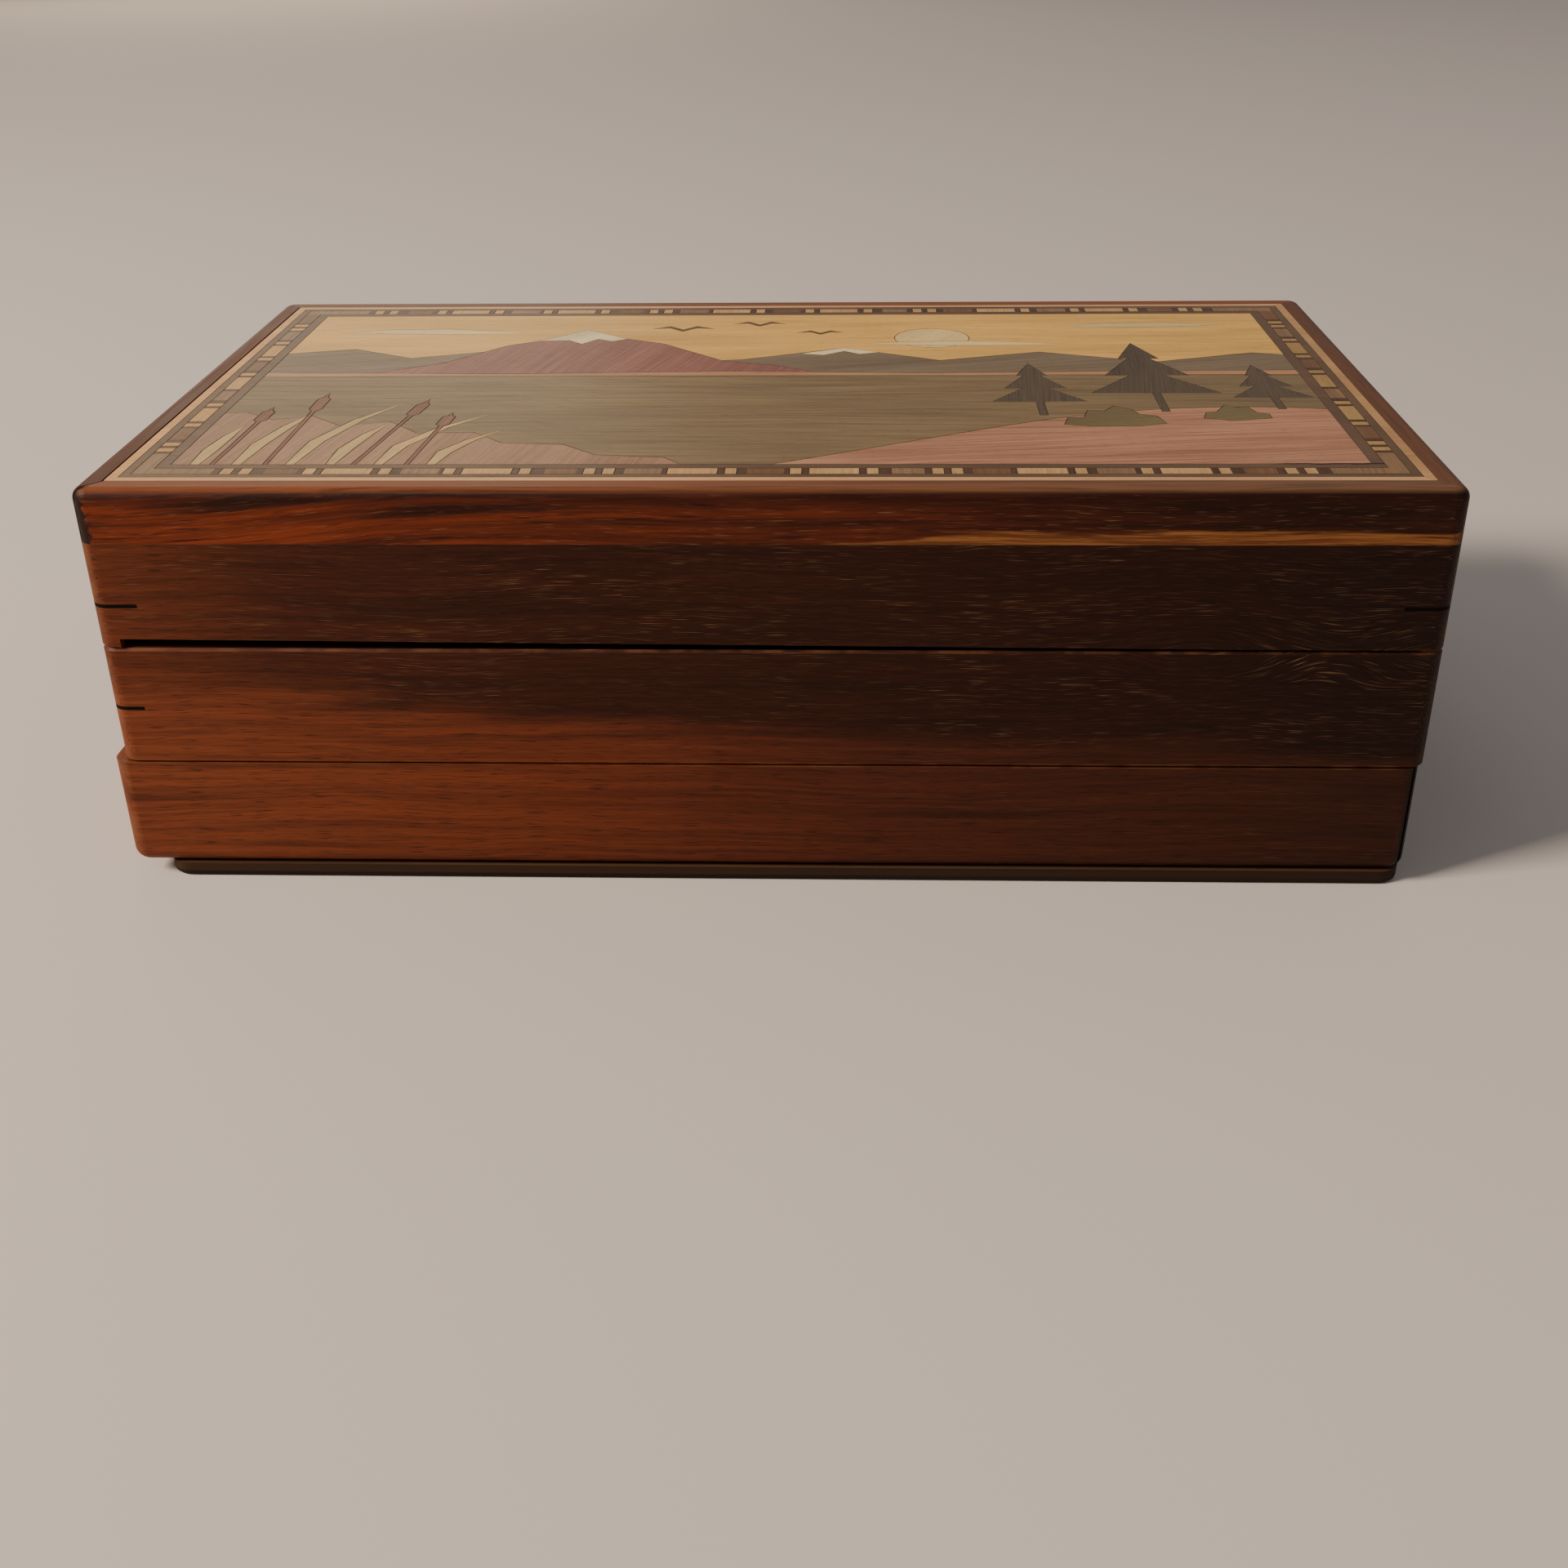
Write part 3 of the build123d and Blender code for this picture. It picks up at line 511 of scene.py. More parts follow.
def frameRosewood(name, look, turn=0.0, place=(0, 0, 0)):
    material, tree = newMaterial(name)
    board = along(tree, turn, place)
    axes = axesOf(tree, board)
    wave = fibre(tree, board, look["waveLength"], look["waveWidth"], detail=2.0, seed=3.0)
    lift = swung(tree, wave, 2 * look["waveHeight"])
    lift = sums(tree, "SUBTRACT", lift, step(tree, axes["X"], look["tiltFrom"], look["tiltTo"], most=look["tiltRise"]))
    grain = bent(tree, board, lift)

    # darker towards the right end: partly the wood, partly painted shade
    across = step(tree, axes["X"], look["start"], look["end"])
    color = mixed(tree, across, hexColor(look["redStart"]), hexColor(look["redEnd"]))
    broad = fibre(tree, grain, look["broadLength"], look["broadWidth"], detail=3.0, seed=1.0)
    upper = step(tree, axes["Z"], *look["broadRise"])
    broad = sums(tree, "MULTIPLY", step(tree, broad, *look["broadShow"]), upper)
    color = mixed(tree, broad, color, hexColor(look["dark"]))
    streak = fibre(tree, grain, look["streakLength"], look["streakWidth"], detail=4.0, roughness=0.6, seed=2.0)
    color = scaled(tree, color, step(tree, streak, *look["streakTone"]))

    # sapwood under a ragged line that climbs along the strip
    edge = step(tree, axes["X"], look["sapFrom"], look["sapFull"], least=look["sapDrop"], most=look["sapRise"])
    depth = sums(tree, "SUBTRACT", sums(tree, "ADD", edge, look["sapLevel"]), axes["Z"])
    ragged = fibre(tree, grain, look["sapRaggedLength"], look["sapRaggedWidth"], detail=3.0, seed=6.0)
    depth = sums(tree, "ADD", swung(tree, ragged, look["sapRagged"]), depth)
    sap = mixed(tree, step(tree, streak, *look["sapStreaks"]), hexColor(look["sap"]), hexColor(look["sapDark"]))
    color = mixed(tree, step(tree, depth, *look["sapEdge"]), color, sap)

    line = fibre(tree, grain, look["lineLength"], look["lineWidth"], detail=1.0, seed=8.0)
    color = mixed(tree, step(tree, line, *look["lineShow"]), color, hexColor(look["dark"]))
    fleck = fibre(tree, grain, look["fleckLength"], look["fleckWidth"], detail=1.0, seed=5.0)
    color = mixed(tree, step(tree, fleck, *look["fleckShow"]), color, hexColor(look["fleck"]))

    # painted shade below the top edge, where the rounding turns away from the light, and a painted highlight on the
    # top, where it catches the light
    color = mixed(tree, step(tree, axes["Z"], *look["paintedFilletShade"]), color, hexColor(look["dark"]))
    topHighlight = sums(tree, "MULTIPLY", step(tree, axes["Z"], *look["paintedHighlightFrom"]), look["paintedHighlightShare"])
    topHighlight = sums(tree, "MULTIPLY", topHighlight, step(tree, streak, *look["paintedHighlightStreaks"]))
    color = mixed(tree, topHighlight, color, mixed(tree, across, *(hexColor(end) for end in look["paintedTopHighlight"])))

    # dirty end grain and painted shade of the open crack at the front left mitre
    color = mixed(tree, tornMitreGrimeAndShade(tree), color, hexColor(tornMitreLook["gapDark"]))
    roughness = step(tree, streak, *look["polish"])
    finish(tree, color, roughness, sums(tree, "ADD", fleck, line), look["bumpDepth"], look["gloss"])
    return material


noSap = dict(frameLook, sapFrom=300 * mm, sapFull=400 * mm)
# the left strip stays paler and takes little of the painted top highlight; the right strip is darker, with a dimmer
# painted highlight: partly the wood, partly painted light and shade from the left
leftStrip = dict(noSap, redEnd="#5E2813", paintedHighlightShare=0.15)
rightStrip = dict(noSap, redStart="#4A2011", paintedTopHighlight=("#6E4A32", "#7A4E31"))
frameWoods = {
    "front": frameRosewood("rosewood front strip", frameLook),
    "back": frameRosewood("rosewood back strip", noSap, turn=math.pi, place=(0, 0.4, 0)),
    "left": frameRosewood("rosewood left strip", leftStrip, turn=math.pi / 2, place=(0, 0.8, 0)),
    "right": frameRosewood("rosewood right strip", rightStrip, turn=math.pi / 2, place=(0, 1.2, 0)),
}
for side, wood in frameWoods.items():
    wear([f"frame_{side}"], wood)
print("frame strips finished")


# Plain sawn boards inside and below: cedar, with soft brown growth lines and short open pores. It has no varnish,
# so it stays dull beside the rosewood.

cedarLook = {
    "ringLength": 150 * mm,
    "ringWidth": 2.4 * mm,
    "ringShow": (0.38, 0.62),
    "patchLength": 70 * mm,
    "patchWidth": 22 * mm,
    "patchTone": (0.3, 0.7, 0.85, 1.12),
    "poreLength": 4.5 * mm,
    "poreWidth": 0.28 * mm,
    "poreShow": (0.38, 0.26, 0.0, 0.55),
    "pore": "#2A180E",
    "bumpDepth": 0.12 * mm,
    "roughness": 0.72,
    "specular": 0.2,
}
keyLook = dict(cedarLook, ringWidth=0.5 * mm, roughness=0.6, specular=0.06)


def sawnBoard(name, pale, dark, look=cedarLook, place=(0, 0, 0), edgeTone=None):
    material, tree = newMaterial(name)
    board = along(tree, place=place)
    ring = fibre(tree, board, look["ringLength"], look["ringWidth"], detail=2.0)
    color = mixed(tree, step(tree, ring, *look["ringShow"]), hexColor(pale), hexColor(dark))
    patch = fibre(tree, board, look["patchLength"], look["patchWidth"], detail=2.0, seed=3.0)
    color = scaled(tree, color, step(tree, patch, *look["patchTone"]))
    pore = fibre(tree, board, look["poreLength"], look["poreWidth"], detail=1.0, seed=6.0)
    color = mixed(tree, step(tree, pore, *look["poreShow"]), color, hexColor(look["pore"]))
    if edgeTone:
        color = edgeTone(tree, color)
    finish(tree, color, look["roughness"], pore, look["bumpDepth"], {"Specular IOR Level": look["specular"]})
    return material


wear(["upper_floor"], sawnBoard("tray floor cedar", "#93693F", "#7C5331"))
wear(["lid_panel"], sawnBoard("lid panel cedar", "#9A714A", "#84593A", place=(0, 0.2, 0)))

# the corner keys are thin slips of near-black heartwood: dark lines with hardly any shine
wear(["upper_corner_key", "rim_corner_keys"], sawnBoard("corner key heartwood", "#120A07", "#0A0504", keyLook))


# The base board's edge shows flush with the tray at the front and at the right. It is cedar; its edge faces are a
# darker brown, darker towards the right, and along their foot a near-black painted shadow stands for the gap under the
# box, strongest at the left.

baseLook = {
    "pale": "#5A3C28",
    "dark": "#47301F",
    "wood": dict(cedarLook, ringWidth=3 * mm),
    "left": -120.4 * mm,
    "right": 124.1 * mm,
    "front": -70.8 * mm,
    "back": 66.4 * mm,
    "corner": 4.5 * mm,
    "cornerSegments": 8,
    "edge": 0.9 * mm,
    "edgeSegments": 3,
    # edge faces: a darker brown than the top, darker towards the right
    "edgeTone": ((-0.12, "#34200F"), (0.0, "#2B190D"), (0.12, "#221209")),
    # near-black painted shadow along the foot of the edge faces, for the gap under the box, strongest at the left
    "gapShadowColor": "#0A0504",
    "edgeFaces": (0.95, 0.8, 0.0, 0.88),  # all faces but the level ones
    "paintedGapShadow": (1.5 * mm, 1.0 * mm, 0.0, 0.9),
    "gapShadowFade": (120 * mm, -20 * mm, 0.4),
}


# makes the edge faces a darker brown, darker towards the right, then lays the painted shadow of the gap along their
# foot
def darkerEdges(tree, color):
    raw = axesOf(tree)
    isEdge = step(tree, levelness(tree), *baseLook["edgeFaces"])
    color = mixed(tree, isEdge, color, lengthwise(tree, raw["X"], baseLook["edgeTone"]))
    # painted shadow of the gap under the box, weaker towards the right
    paintedGapShadow = sums(tree, "MULTIPLY", isEdge, step(tree, raw["Z"], *baseLook["paintedGapShadow"]))
    paintedGapShadow = sums(tree, "MULTIPLY", paintedGapShadow, step(tree, raw["X"], *baseLook["gapShadowFade"]))
    return mixed(tree, paintedGapShadow, color, hexColor(baseLook["gapShadowColor"]))


def roundEdges(piece, onEdge, offset, segments):  # rounds the edges of a piece that a test picks
    bpy.ops.object.mode_set(mode="EDIT")
    bpy.ops.mesh.select_mode(type="EDGE")
    bpy.ops.mesh.select_all(action="DESELECT")
    mesh = bmesh.from_edit_mesh(piece.data)
    for edge in mesh.edges:
        if onEdge(*(vert.co for vert in edge.verts)):
            edge.select_set(True)
    bmesh.update_edit_mesh(piece.data)
    bpy.ops.mesh.bevel(offset=offset, segments=segments)
    bpy.ops.object.mode_set(mode="OBJECT")


def makeBase(look):
    bottom, top = (corner.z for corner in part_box("base_board"))
    bpy.ops.object.select_all(action="DESELECT")
    middle = ((look["left"] + look["right"]) / 2, (look["front"] + look["back"]) / 2, (bottom + top) / 2)
    bpy.ops.mesh.primitive_cube_add(size=1, location=middle)
    board = bpy.context.object
    board.name = "base_board_plank"
    board.scale = (look["right"] - look["left"], look["back"] - look["front"], top - bottom)
    bpy.ops.object.transform_apply(location=True, rotation=True, scale=True)
    roundEdges(board, lambda a, b: min(a.z, b.z) < middle[2] < max(a.z, b.z), look["corner"], look["cornerSegments"])
    roundEdges(board, lambda a, b: max(a.z, b.z) < middle[2], look["edge"], look["edgeSegments"])
    wood = sawnBoard("base board cedar", look["pale"], look["dark"], look["wood"], edgeTone=darkerEdges)
    board.data.materials.append(wood)
    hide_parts("base_board")
    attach(board, "lower_tray")


makeBase(baseLook)
print("inner boards finished")


# Veneers of the lid: knife-cut leaves laid side by side with dark glue between them, under a satin varnish.
# Each leaf has its own grain direction, so each takes the light in its own way.

varnish = {"Specular IOR Level": 0.12, "Coat Weight": 0.06, "Coat Roughness": 0.3}
leafLook = {
    "waveLength": 45 * mm,
    "waveWidth": 14 * mm,
    "waveHeight": 4 * mm,
    "streakLength": 30 * mm,
    "streakShow": (0.3, 0.72),
    "cloudLength": 60 * mm,
    "cloudWidth": 12 * mm,
    "cloudTone": (0.28, 0.72, 0.86, 1.1),
    "poreLength": 2.6 * mm,
    "poreWidth": 0.2 * mm,
    "poreShow": (0.38, 0.28, 0.0, 0.4),
    "pore": "#2E2015",
    "scuffLength": 14 * mm,
    "scuffWidth": 0.3 * mm,
    "scuffTurn": 0.6,
    "scuffRoughness": (0.55, 0.75, 0.42, 0.56),
    "bumpDepth": 0.05 * mm,
}
veneerLook = {  # pale and dark colour, grain direction in degrees, streak width in millimetres
    "stringing": ("#D9A97A", "#C7935F", 0, 0.5),
    "border_blocks": ("#CBA36B", "#B28A54", 90, 0.4),
    "outer_line": ("#6C5238", "#543C27", 0, 0.4),
    "inner_line": ("#694F38", "#533A28", 0, 0.4),
    "sky": ("#E2B05C", "#CB9647", 0, 0.8),
    "sun": ("#E6C684", "#D4AE6A", 60, 0.5),
    "clouds": ("#E2C78C", "#D3B274", 3, 0.5),
    "birds": ("#5C4B39", "#463728", 0, 0.4),
    "far_ridge": ("#7F6B53", "#65533C", 12, 0.6),
    "near_ridge": ("#935F50", "#744437", 74, 0.5),
    "snow_caps": ("#E8D2A2", "#D5B984", 40, 0.4),
    "far_bank": ("#B8885F", "#98674A", 0, 0.4),
    "lake": ("#86704C", "#675035", 0, 0.6),
    "hill": ("#B68464", "#925F45", 6, 0.6),
    "pines": ("#5B4B38", "#453626", 85, 0.4),
    "shrubs": ("#76653F", "#5D4D30", 20, 0.4),
    "reed_bank": ("#A27958", "#866045", 80, 0.5),
    "reeds": ("#C6A56A", "#A8874F", 78, 0.4),
    "bulrushes": ("#7C4A35", "#5C3323", 85, 0.4),
}


def veneerWood(name, pale, dark, degrees, width, seed, tint=None):
    material, tree = newMaterial(name + " veneer")
    leaf = along(tree, math.radians(-degrees), (seed, 1.7 * seed, 0))
    wave = fibre(tree, leaf, leafLook["waveLength"], leafLook["waveWidth"], detail=1.0)
    bend = addNode(tree, "ShaderNodeCombineXYZ", {"Y": sums(tree, "MULTIPLY", wave, leafLook["waveHeight"])})
    grain = addNode(tree, "ShaderNodeVectorMath", {0: leaf, 1: bend.outputs["Vector"]}, operation="ADD").outputs[0]
    streak = fibre(tree, grain, leafLook["streakLength"], width * mm, detail=4.0, roughness=0.65)
    color = mixed(tree, step(tree, streak, *leafLook["streakShow"]), hexColor(pale), hexColor(dark))
    if tint:  # the piece's own pattern of tones
        color = mixed(tree, 1.0, color, tint(tree), kind="MULTIPLY")
    cloud = fibre(tree, grain, leafLook["cloudLength"], leafLook["cloudWidth"], detail=2.0, seed=5.0)
    color = scaled(tree, color, step(tree, cloud, *leafLook["cloudTone"]))
    pore = fibre(tree, grain, leafLook["poreLength"], leafLook["poreWidth"], detail=1.0, seed=8.0)
    color = mixed(tree, step(tree, pore, *leafLook["poreShow"]), color, hexColor(leafLook["pore"]))
    scuffed = along(tree, leafLook["scuffTurn"])
    scuff = fibre(tree, scuffed, leafLook["scuffLength"], leafLook["scuffWidth"], detail=2.0, seed=11.0)
    roughness = step(tree, scuff, *leafLook["scuffRoughness"])
    finish(tree, color, roughness, pore, leafLook["bumpDepth"], varnish)
    return material


# Old hide glue: dark brown and a little sunk, so that a fine line parts the leaves

jointLook = {
    "width": 0.11 * mm,
    "depth": 0.09 * mm,
    "dark": "#2B1C12",
    "pale": "#46301F",
    "patchLength": 6 * mm,
    "patchWidth": 3 * mm,
    "grit": 1 * mm,
    "roughness": 0.6,
    "bumpDepth": 0.05 * mm,
}


def hideGlue(look):
    material, tree = newMaterial("old hide glue in the joints")
    patch = fibre(tree, along(tree), look["patchLength"], look["patchWidth"])
    color = mixed(tree, patch, hexColor(look["dark"]), hexColor(look["pale"]))
    grit = fibre(tree, along(tree), look["grit"], look["grit"])
    finish(tree, color, look["roughness"], grit, look["bumpDepth"], varnish)
    return material


glue = hideGlue(jointLook)
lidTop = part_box("sky")[1][2]
weld = 0.002 * mm
facingUp = 0.9  # of a face's normal, and the same below zero for down
seedStep = 0.13  # between the veneers' noises


def copyOf(name, suffix, *materials):  # a CAD node's mesh as a new piece, its loose triangles joined
    piece = bpy.data.objects.new(name + suffix, nodes[name].data.copy())
    bpy.context.collection.objects.link(piece)
    piece.data.materials.clear()
    for material in materials:
        piece.data.materials.append(material)
    bpy.ops.object.select_all(action="DESELECT")
    piece.select_set(True)
    bpy.context.view_layer.objects.active = piece
    bpy.ops.object.mode_set(mode="EDIT")
    bpy.ops.mesh.select_mode(type="FACE")
    bpy.ops.mesh.select_all(action="SELECT")
    bpy.ops.mesh.remove_doubles(threshold=weld)
    return piece


def inlaid(name, material):  # a leaf with the fine sunk joint round its cut edge
    piece = copyOf(name, "_leaf", material, glue)
    mesh = bmesh.from_edit_mesh(piece.data)
    for face in mesh.faces:
        face.material_index = 0
        face.select = face.normal.z > facingUp
    bmesh.update_edit_mesh(piece.data)
    bpy.ops.mesh.inset(thickness=jointLook["width"], use_even_offset=False)
    mesh = bmesh.from_edit_mesh(piece.data)
    inner = {vert for face in mesh.faces if face.select for vert in face.verts}
    for face in mesh.faces:
        if face.normal.z > facingUp and not face.select:
            face.material_index = 1
            for vert in face.verts:
                if vert not in inner:
                    vert.co.z = lidTop - jointLook["depth"]
    bmesh.update_edit_mesh(piece.data)
    bpy.ops.object.mode_set(mode="OBJECT")
    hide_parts(name)
    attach(piece, "lid")


splitLook = {
    "line": -56.3 * mm,
    "wobble": 1.4 * mm,
    "wobbleSize": 4 * mm,
    "reach": (0.5 * mm, 0.25 * mm),
    "along": (90 * mm, 97 * mm),
    "most": 0.9,
    "gapDark": "#3A2A20",
}


def openJoint(tree):  # the picture has come away from its line at the front right
    look = splitLook
    raw = axesOf(tree)
    wobble = fibre(tree, along(tree), look["wobbleSize"], look["wobbleSize"], detail=3.0)
    off = sums(tree, "ADD", swung(tree, wobble, look["wobble"]), sums(tree, "SUBTRACT", raw["Y"], look["line"]))
    split = step(tree, sums(tree, "ABSOLUTE", off), *look["reach"])
    split = sums(tree, "MULTIPLY", split, step(tree, raw["X"], *look["along"], most=look["most"]))
    return mixed(tree, split, hexColor("#FFFFFF"), hexColor(look["gapDark"]))


paintedFalloffAndSideToneLook = {  # multiplied over the pale woods of the border
    # darker and cooler towards the right: painted shade of the light falling off from the left
    "whole": ((-0.12, "#FFF7E9"), (0.0, "#F6F0EF"), (0.12, "#EAE9F1")),
    "sides": ((-0.12, "#FFF9E4"), (0.12, "#EAE9D4")),
    "soft": 0.1 * mm,
}


def paintedFalloffAndSideTone(tree):  # the pale woods darken and cool towards the right as painted shade of the light falling off, and are yellower along the two sides
    raw = axesOf(tree)
    past = sums(tree, "SUBTRACT", sums(tree, "ABSOLUTE", raw["X"]), sums(tree, "ABSOLUTE", raw["Y"]))
    onSide = step(tree, past, mitreLine - paintedFalloffAndSideToneLook["soft"], mitreLine + paintedFalloffAndSideToneLook["soft"])
    whole, sides = (lengthwise(tree, raw["X"], paintedFalloffAndSideToneLook[part]) for part in ("whole", "sides"))
    return mixed(tree, onSide, whole, sides, kind="MULTIPLY")


tints = {"hill": openJoint, "inner_line": openJoint, "stringing": paintedFalloffAndSideTone, "border_blocks": paintedFalloffAndSideTone}
for seed, (name, (pale, dark, degrees, width)) in enumerate(veneerLook.items()):
    inlaid(name, veneerWood(name, pale, dark, degrees, width, seedStep * (seed + 1), tints.get(name)))
print("veneers inlaid")


# The border's ground is pieced: dark ends beside each group of blocks, two browns by turns between them

groundLook = {
    "pale": "#8C6B4A",
    "dark": "#73563A",
    "besideBlocks": "#A08F84",  # multiplied over the ground
    "between": ("#FFFFFF", "#D9C8B8"),
    "band": 4 * mm,  # the blocks lie this near to the band's outer edge
    "sides": (58.6 * mm, 58.5 * mm),  # the front and back of the band lie beyond this
    "margin": 1.6 * mm,
    "sameGroup": 2.5 * mm,  # blocks that are closer than this stand in one group
}


def blockGroups(axis):  # the stretches that groups of blocks fill along the front or the left border
    mesh = nodes["border_blocks"].data
    corners = [[mesh.vertices[i].co for i in face.vertices] for face in mesh.polygons]
    inBand = min(vert.co[1 - axis] for vert in mesh.vertices) + groundLook["band"]
    spans = sorted((min(co[axis] for co in face), max(co[axis] for co in face))
                   for face in corners if all(co[1 - axis] < inBand for co in face))
    groups = [list(spans[0])]
    for low, high in spans[1:]:
        if low > groups[-1][1] + groundLook["sameGroup"]:
            groups.append([low, high])
        else:
            groups[-1][1] = max(groups[-1][1], high)
    return groups


def groundTint(tree):
    raw = axesOf(tree)
    margin, between = groundLook["margin"], groundLook["between"]
    sides = []
    for axis, half in enumerate(halfSize):
        stops = [(0.0, hexColor(between[0]))]
        for i, (low, high) in enumerate(blockGroups(axis)):
            stops.append(((low - margin) / (2 * half) + 0.5, hexColor(groundLook["besideBlocks"])))
            stops.append(((high + margin) / (2 * half) + 0.5, hexColor(between[1 - i % 2])))
        place = sums(tree, "MULTIPLY_ADD", raw["XY"[axis]], 1 / (2 * half), 0.5)
        ramp = addNode(tree, "ShaderNodeValToRGB", {"Fac": place}, stops=stops)
        ramp.color_ramp.interpolation = "CONSTANT"
        sides.append(ramp.outputs["Color"])
    onSide = step(tree, sums(tree, "ABSOLUTE", raw["Y"]), *groundLook["sides"])
    return mixed(tree, onSide, *sides)


inlaid("block_ground", veneerWood("block_ground", groundLook["pale"], groundLook["dark"], degrees=90, width=0.5,
                                  seed=0.9, tint=groundTint))
print("border ground laid")


# Hinges: leaves of old rolled brass, each with two countersunk slotted screws. The brass is dull yellow, blotched
# brown by handling, with dark spots and fine scratches that blur what it mirrors.

brassLook = {
    "bright": "#A8844A",
    "dull": "#6E5430",
    "spot": "#3A2A1A",
    "patchLength": 5 * mm,
    "patchWidth": 3 * mm,
    "patchShow": (0.35, 0.65),
    "patchRoughness": (0.3, 0.7, 0.3, 0.52),
    "spotSize": 0.9 * mm,
    "spotShow": (0.62, 0.74, 0.0, 0.8),
    "scratchLength": 6 * mm,
    "scratchWidth": 0.16 * mm,
    "scratchTurn": 0.3,
    "bumpDepth": 0.02 * mm,
}
screwLook = {
    "headRadius": 1.25 * mm,
    "shankRadius": 0.62 * mm,
    "headDepth": 0.62 * mm,
    "length": 7 * mm,
    "shankShare": 0.7,  # of the length, above the point
    "point": 0.15,  # of the shank's width
    "segments": 24,
    "slotWidth": 0.32 * mm,
    "slotDepth": 0.24 * mm,
    "apart": 14 * mm,
    "row": 64.5 * mm,  # distance of the screws' row behind the box's middle
    "sunk": 0.06 * mm,
    "headRoom": 0.18 * mm,  # of the holes round the screws
    "shankRoom": 0.05 * mm,
    "deeper": 0.1 * mm,
    "proud": 0.05 * mm,
    "turn": 0.4,  # of the slots, each by its own amount
    "turnStep": 1.3,
    "turnDrift": 9,
}


def oldBrass(name, look):
    material, tree = newMaterial(name)
    patch = fibre(tree, along(tree), look["patchLength"], look["patchWidth"], detail=4.0)
    color = mixed(tree, step(tree, patch, *look["patchShow"]), hexColor(look["bright"]), hexColor(look["dull"]))
    spot = fibre(tree, along(tree), look["spotSize"], look["spotSize"], detail=2.0, seed=3.0)
    color = mixed(tree, step(tree, spot, *look["spotShow"]), color, hexColor(look["spot"]))
    scratched = along(tree, look["scratchTurn"])
    scratch = fibre(tree, scratched, look["scratchLength"], look["scratchWidth"], detail=2.0, seed=5.0)
    roughness = step(tree, patch, *look["patchRoughness"])
    finish(tree, color, roughness, scratch, look["bumpDepth"], {"Metallic": 1.0})
    return material


brass = oldBrass("old rolled brass", brassLook)


def addCone(name, radiusAt, radiusBelow, depth, middle):
    bpy.ops.object.select_all(action="DESELECT")
    bpy.ops.mesh.primitive_cone_add(vertices=screwLook["segments"], radius1=radiusBelow, radius2=radiusAt,
                                    depth=depth, location=middle)
    cone = bpy.context.object
    cone.name = name
    return cone


def cutWith(piece, cutter):
    modifier = piece.modifiers.new("cut", "BOOLEAN")
    modifier.operation = "DIFFERENCE"
    modifier.solver = "EXACT"
    modifier.object = cutter
    bpy.ops.object.select_all(action="DESELECT")
    piece.select_set(True)
    bpy.context.view_layer.objects.active = piece
    bpy.ops.object.modifier_apply(modifier="cut")
    bpy.data.objects.remove(cutter)


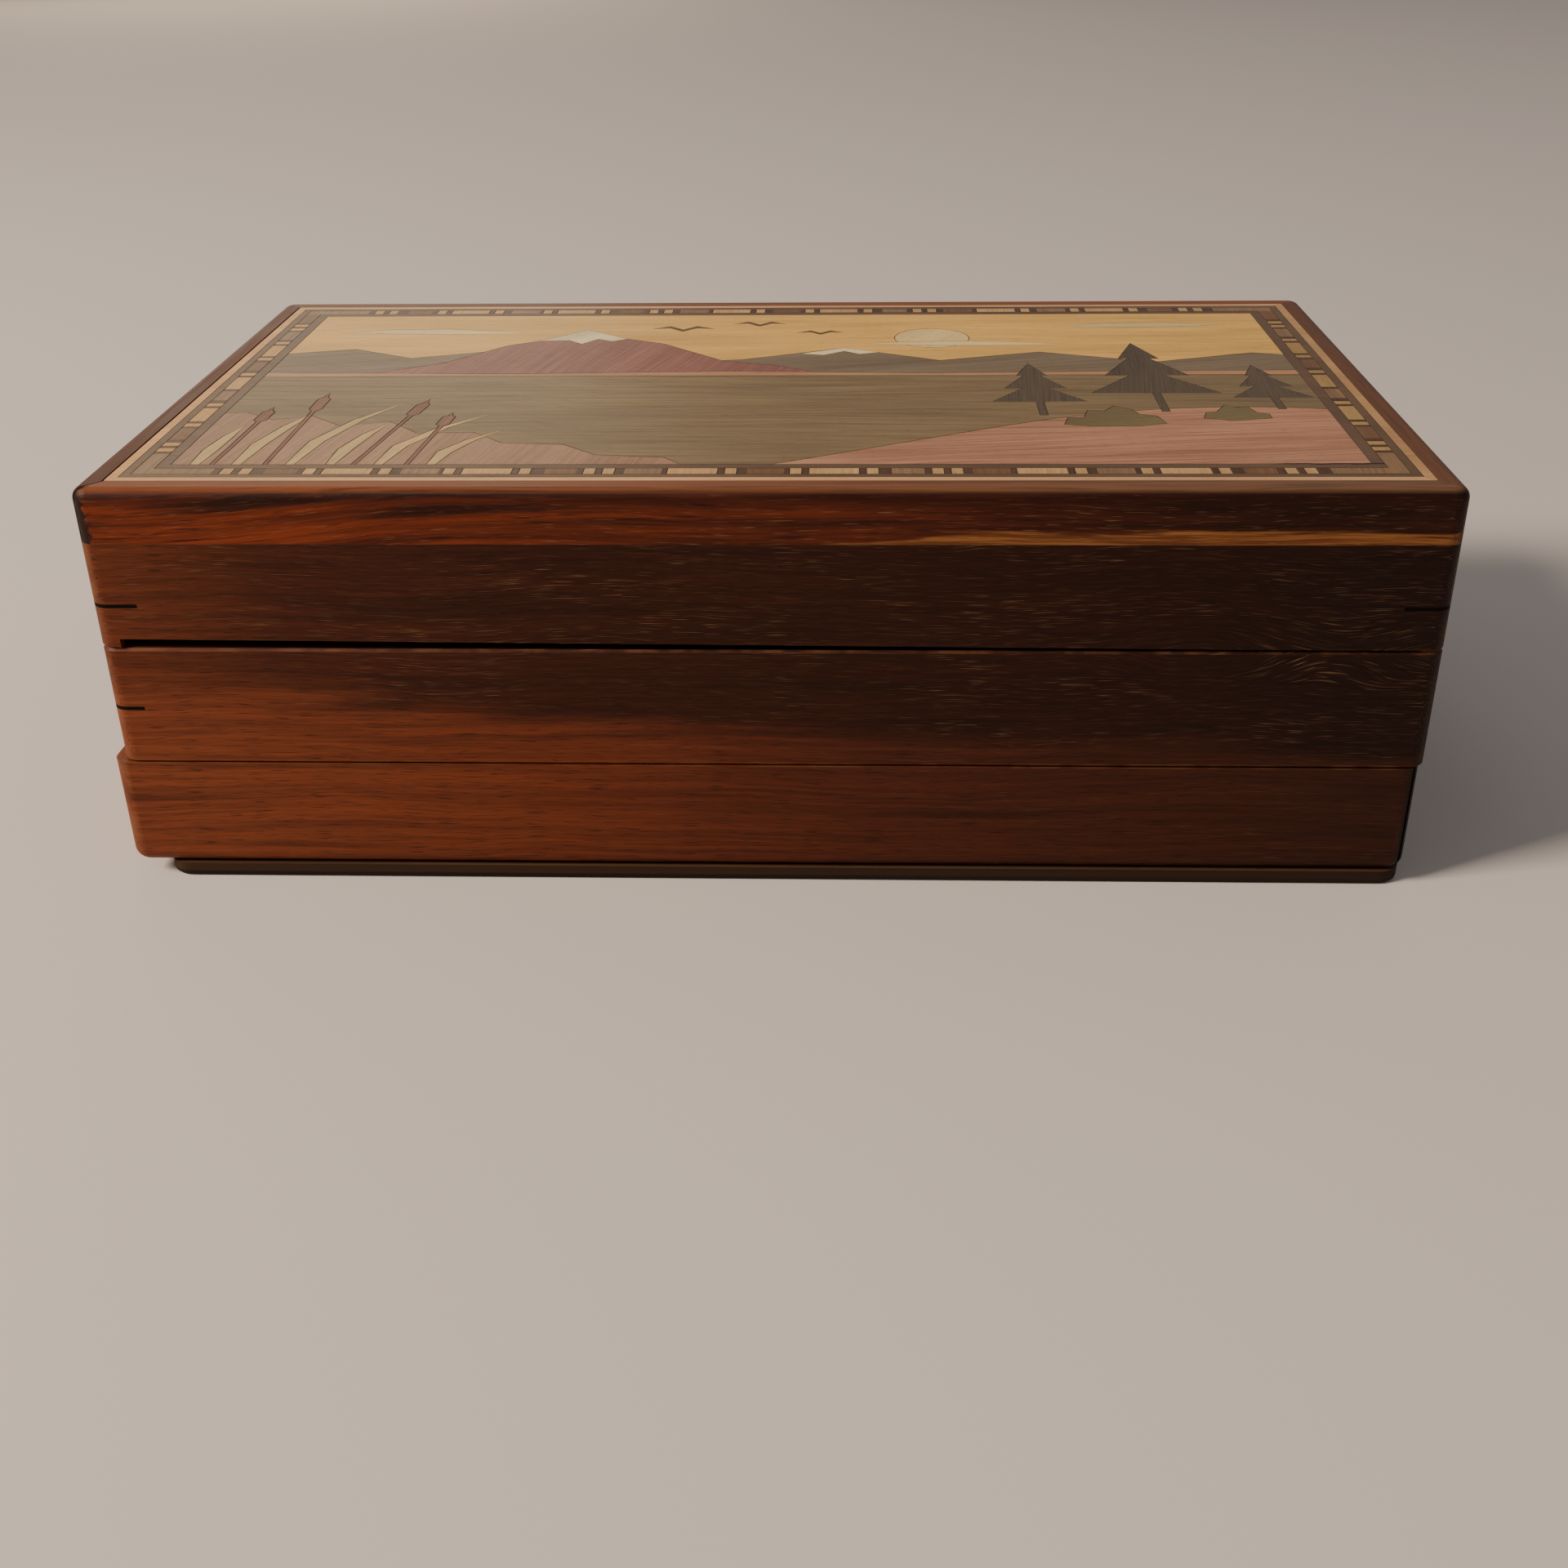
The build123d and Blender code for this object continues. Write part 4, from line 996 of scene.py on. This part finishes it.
def makeScrew(look):  # points down, its head's face at the origin
    head = addCone("hinge_screw", look["headRadius"], look["shankRadius"], look["headDepth"],
                   (0, 0, -look["headDepth"] / 2))
    bpy.ops.object.mode_set(mode="EDIT")
    bpy.ops.mesh.select_mode(type="FACE")
    mesh = bmesh.from_edit_mesh(head.data)
    for face in mesh.faces:
        face.select = face.normal.z < -facingUp
    bmesh.update_edit_mesh(head.data)
    for share in (look["shankShare"], 1 - look["shankShare"]):
        bpy.ops.mesh.extrude_region_move(TRANSFORM_OT_translate={"value": (0, 0, -look["length"] * share)})
    bpy.ops.transform.resize(value=(look["point"], look["point"], 1))
    bpy.ops.object.mode_set(mode="OBJECT")
    bpy.ops.object.transform_apply(location=True, rotation=True, scale=True)
    bpy.ops.object.select_all(action="DESELECT")
    bpy.ops.mesh.primitive_cube_add(size=1, location=(0, 0, 0))
    slot = bpy.context.object
    slot.scale = (3 * look["headRadius"], look["slotWidth"], 2 * look["slotDepth"])
    bpy.ops.object.transform_apply(location=True, rotation=True, scale=True)
    cutWith(head, slot)
    head.data.materials.append(brass)
    return head


def copyScrew(model, name, place, up, turn, body):
    screw = bpy.data.objects.new(name, model.data.copy())
    bpy.context.collection.objects.link(screw)
    flip = Matrix.Rotation(math.pi, 4, "X") if up > 0 else Matrix.Identity(4)
    screw.data.transform(Matrix.Translation(place) @ flip @ Matrix.Rotation(turn, 4, "Z"))
    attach(screw, body)


def drilled(name, screws, up):  # a leaf with its countersunk holes
    piece = copyOf(name, "_plate", brass)
    bpy.ops.object.mode_set(mode="OBJECT")
    depth = screwLook["headDepth"] + screwLook["deeper"]
    below = screwLook["shankRadius"] + screwLook["shankRoom"]
    face = screwLook["headRadius"] + screwLook["headRoom"]
    radii = (below, face) if up > 0 else (face, below)
    for x, y, z in screws:
        middle = (x, y, z + up * (depth / 2 - screwLook["proud"]))
        cutWith(piece, addCone("cutter", *radii, depth, middle))
    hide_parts(name)
    return piece


screwModel = makeScrew(screwLook)
leaves = [("tray_hinge_fixed", -1, "lower_tray"), ("tray_hinge_moving", 1, "upper_tray"),
          ("lid_hinge_fixed", -1, "upper_tray"), ("lid_hinge_moving", 1, "lid")]
for leafName, up, body in leaves:
    for hand in ("left", "right"):
        name = f"{leafName}_{hand}"
        low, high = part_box(name)
        middle = (low.x + high.x) / 2
        seam = (low.z + high.z) / 2  # the barrel is centred on the seam, and so is the leaf's box
        spots = [(middle + side * screwLook["apart"] / 2, screwLook["row"], seam) for side in (-1, 1)]
        piece = drilled(name, spots, up)
        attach(piece, body)
        for i, (x, y, z) in enumerate(spots):
            turn = screwLook["turn"] + screwLook["turnStep"] * i + middle * screwLook["turnDrift"]
            copyScrew(screwModel, f"{name}_screw_{i + 1}", (x, y, z + up * screwLook["sunk"]), up, turn, body)
bpy.data.objects.remove(screwModel)
wear([f"{pin}_hinge_pin_{hand}" for pin in ("tray", "lid") for hand in ("left", "right")], brass)
print("hinges drilled and screwed")
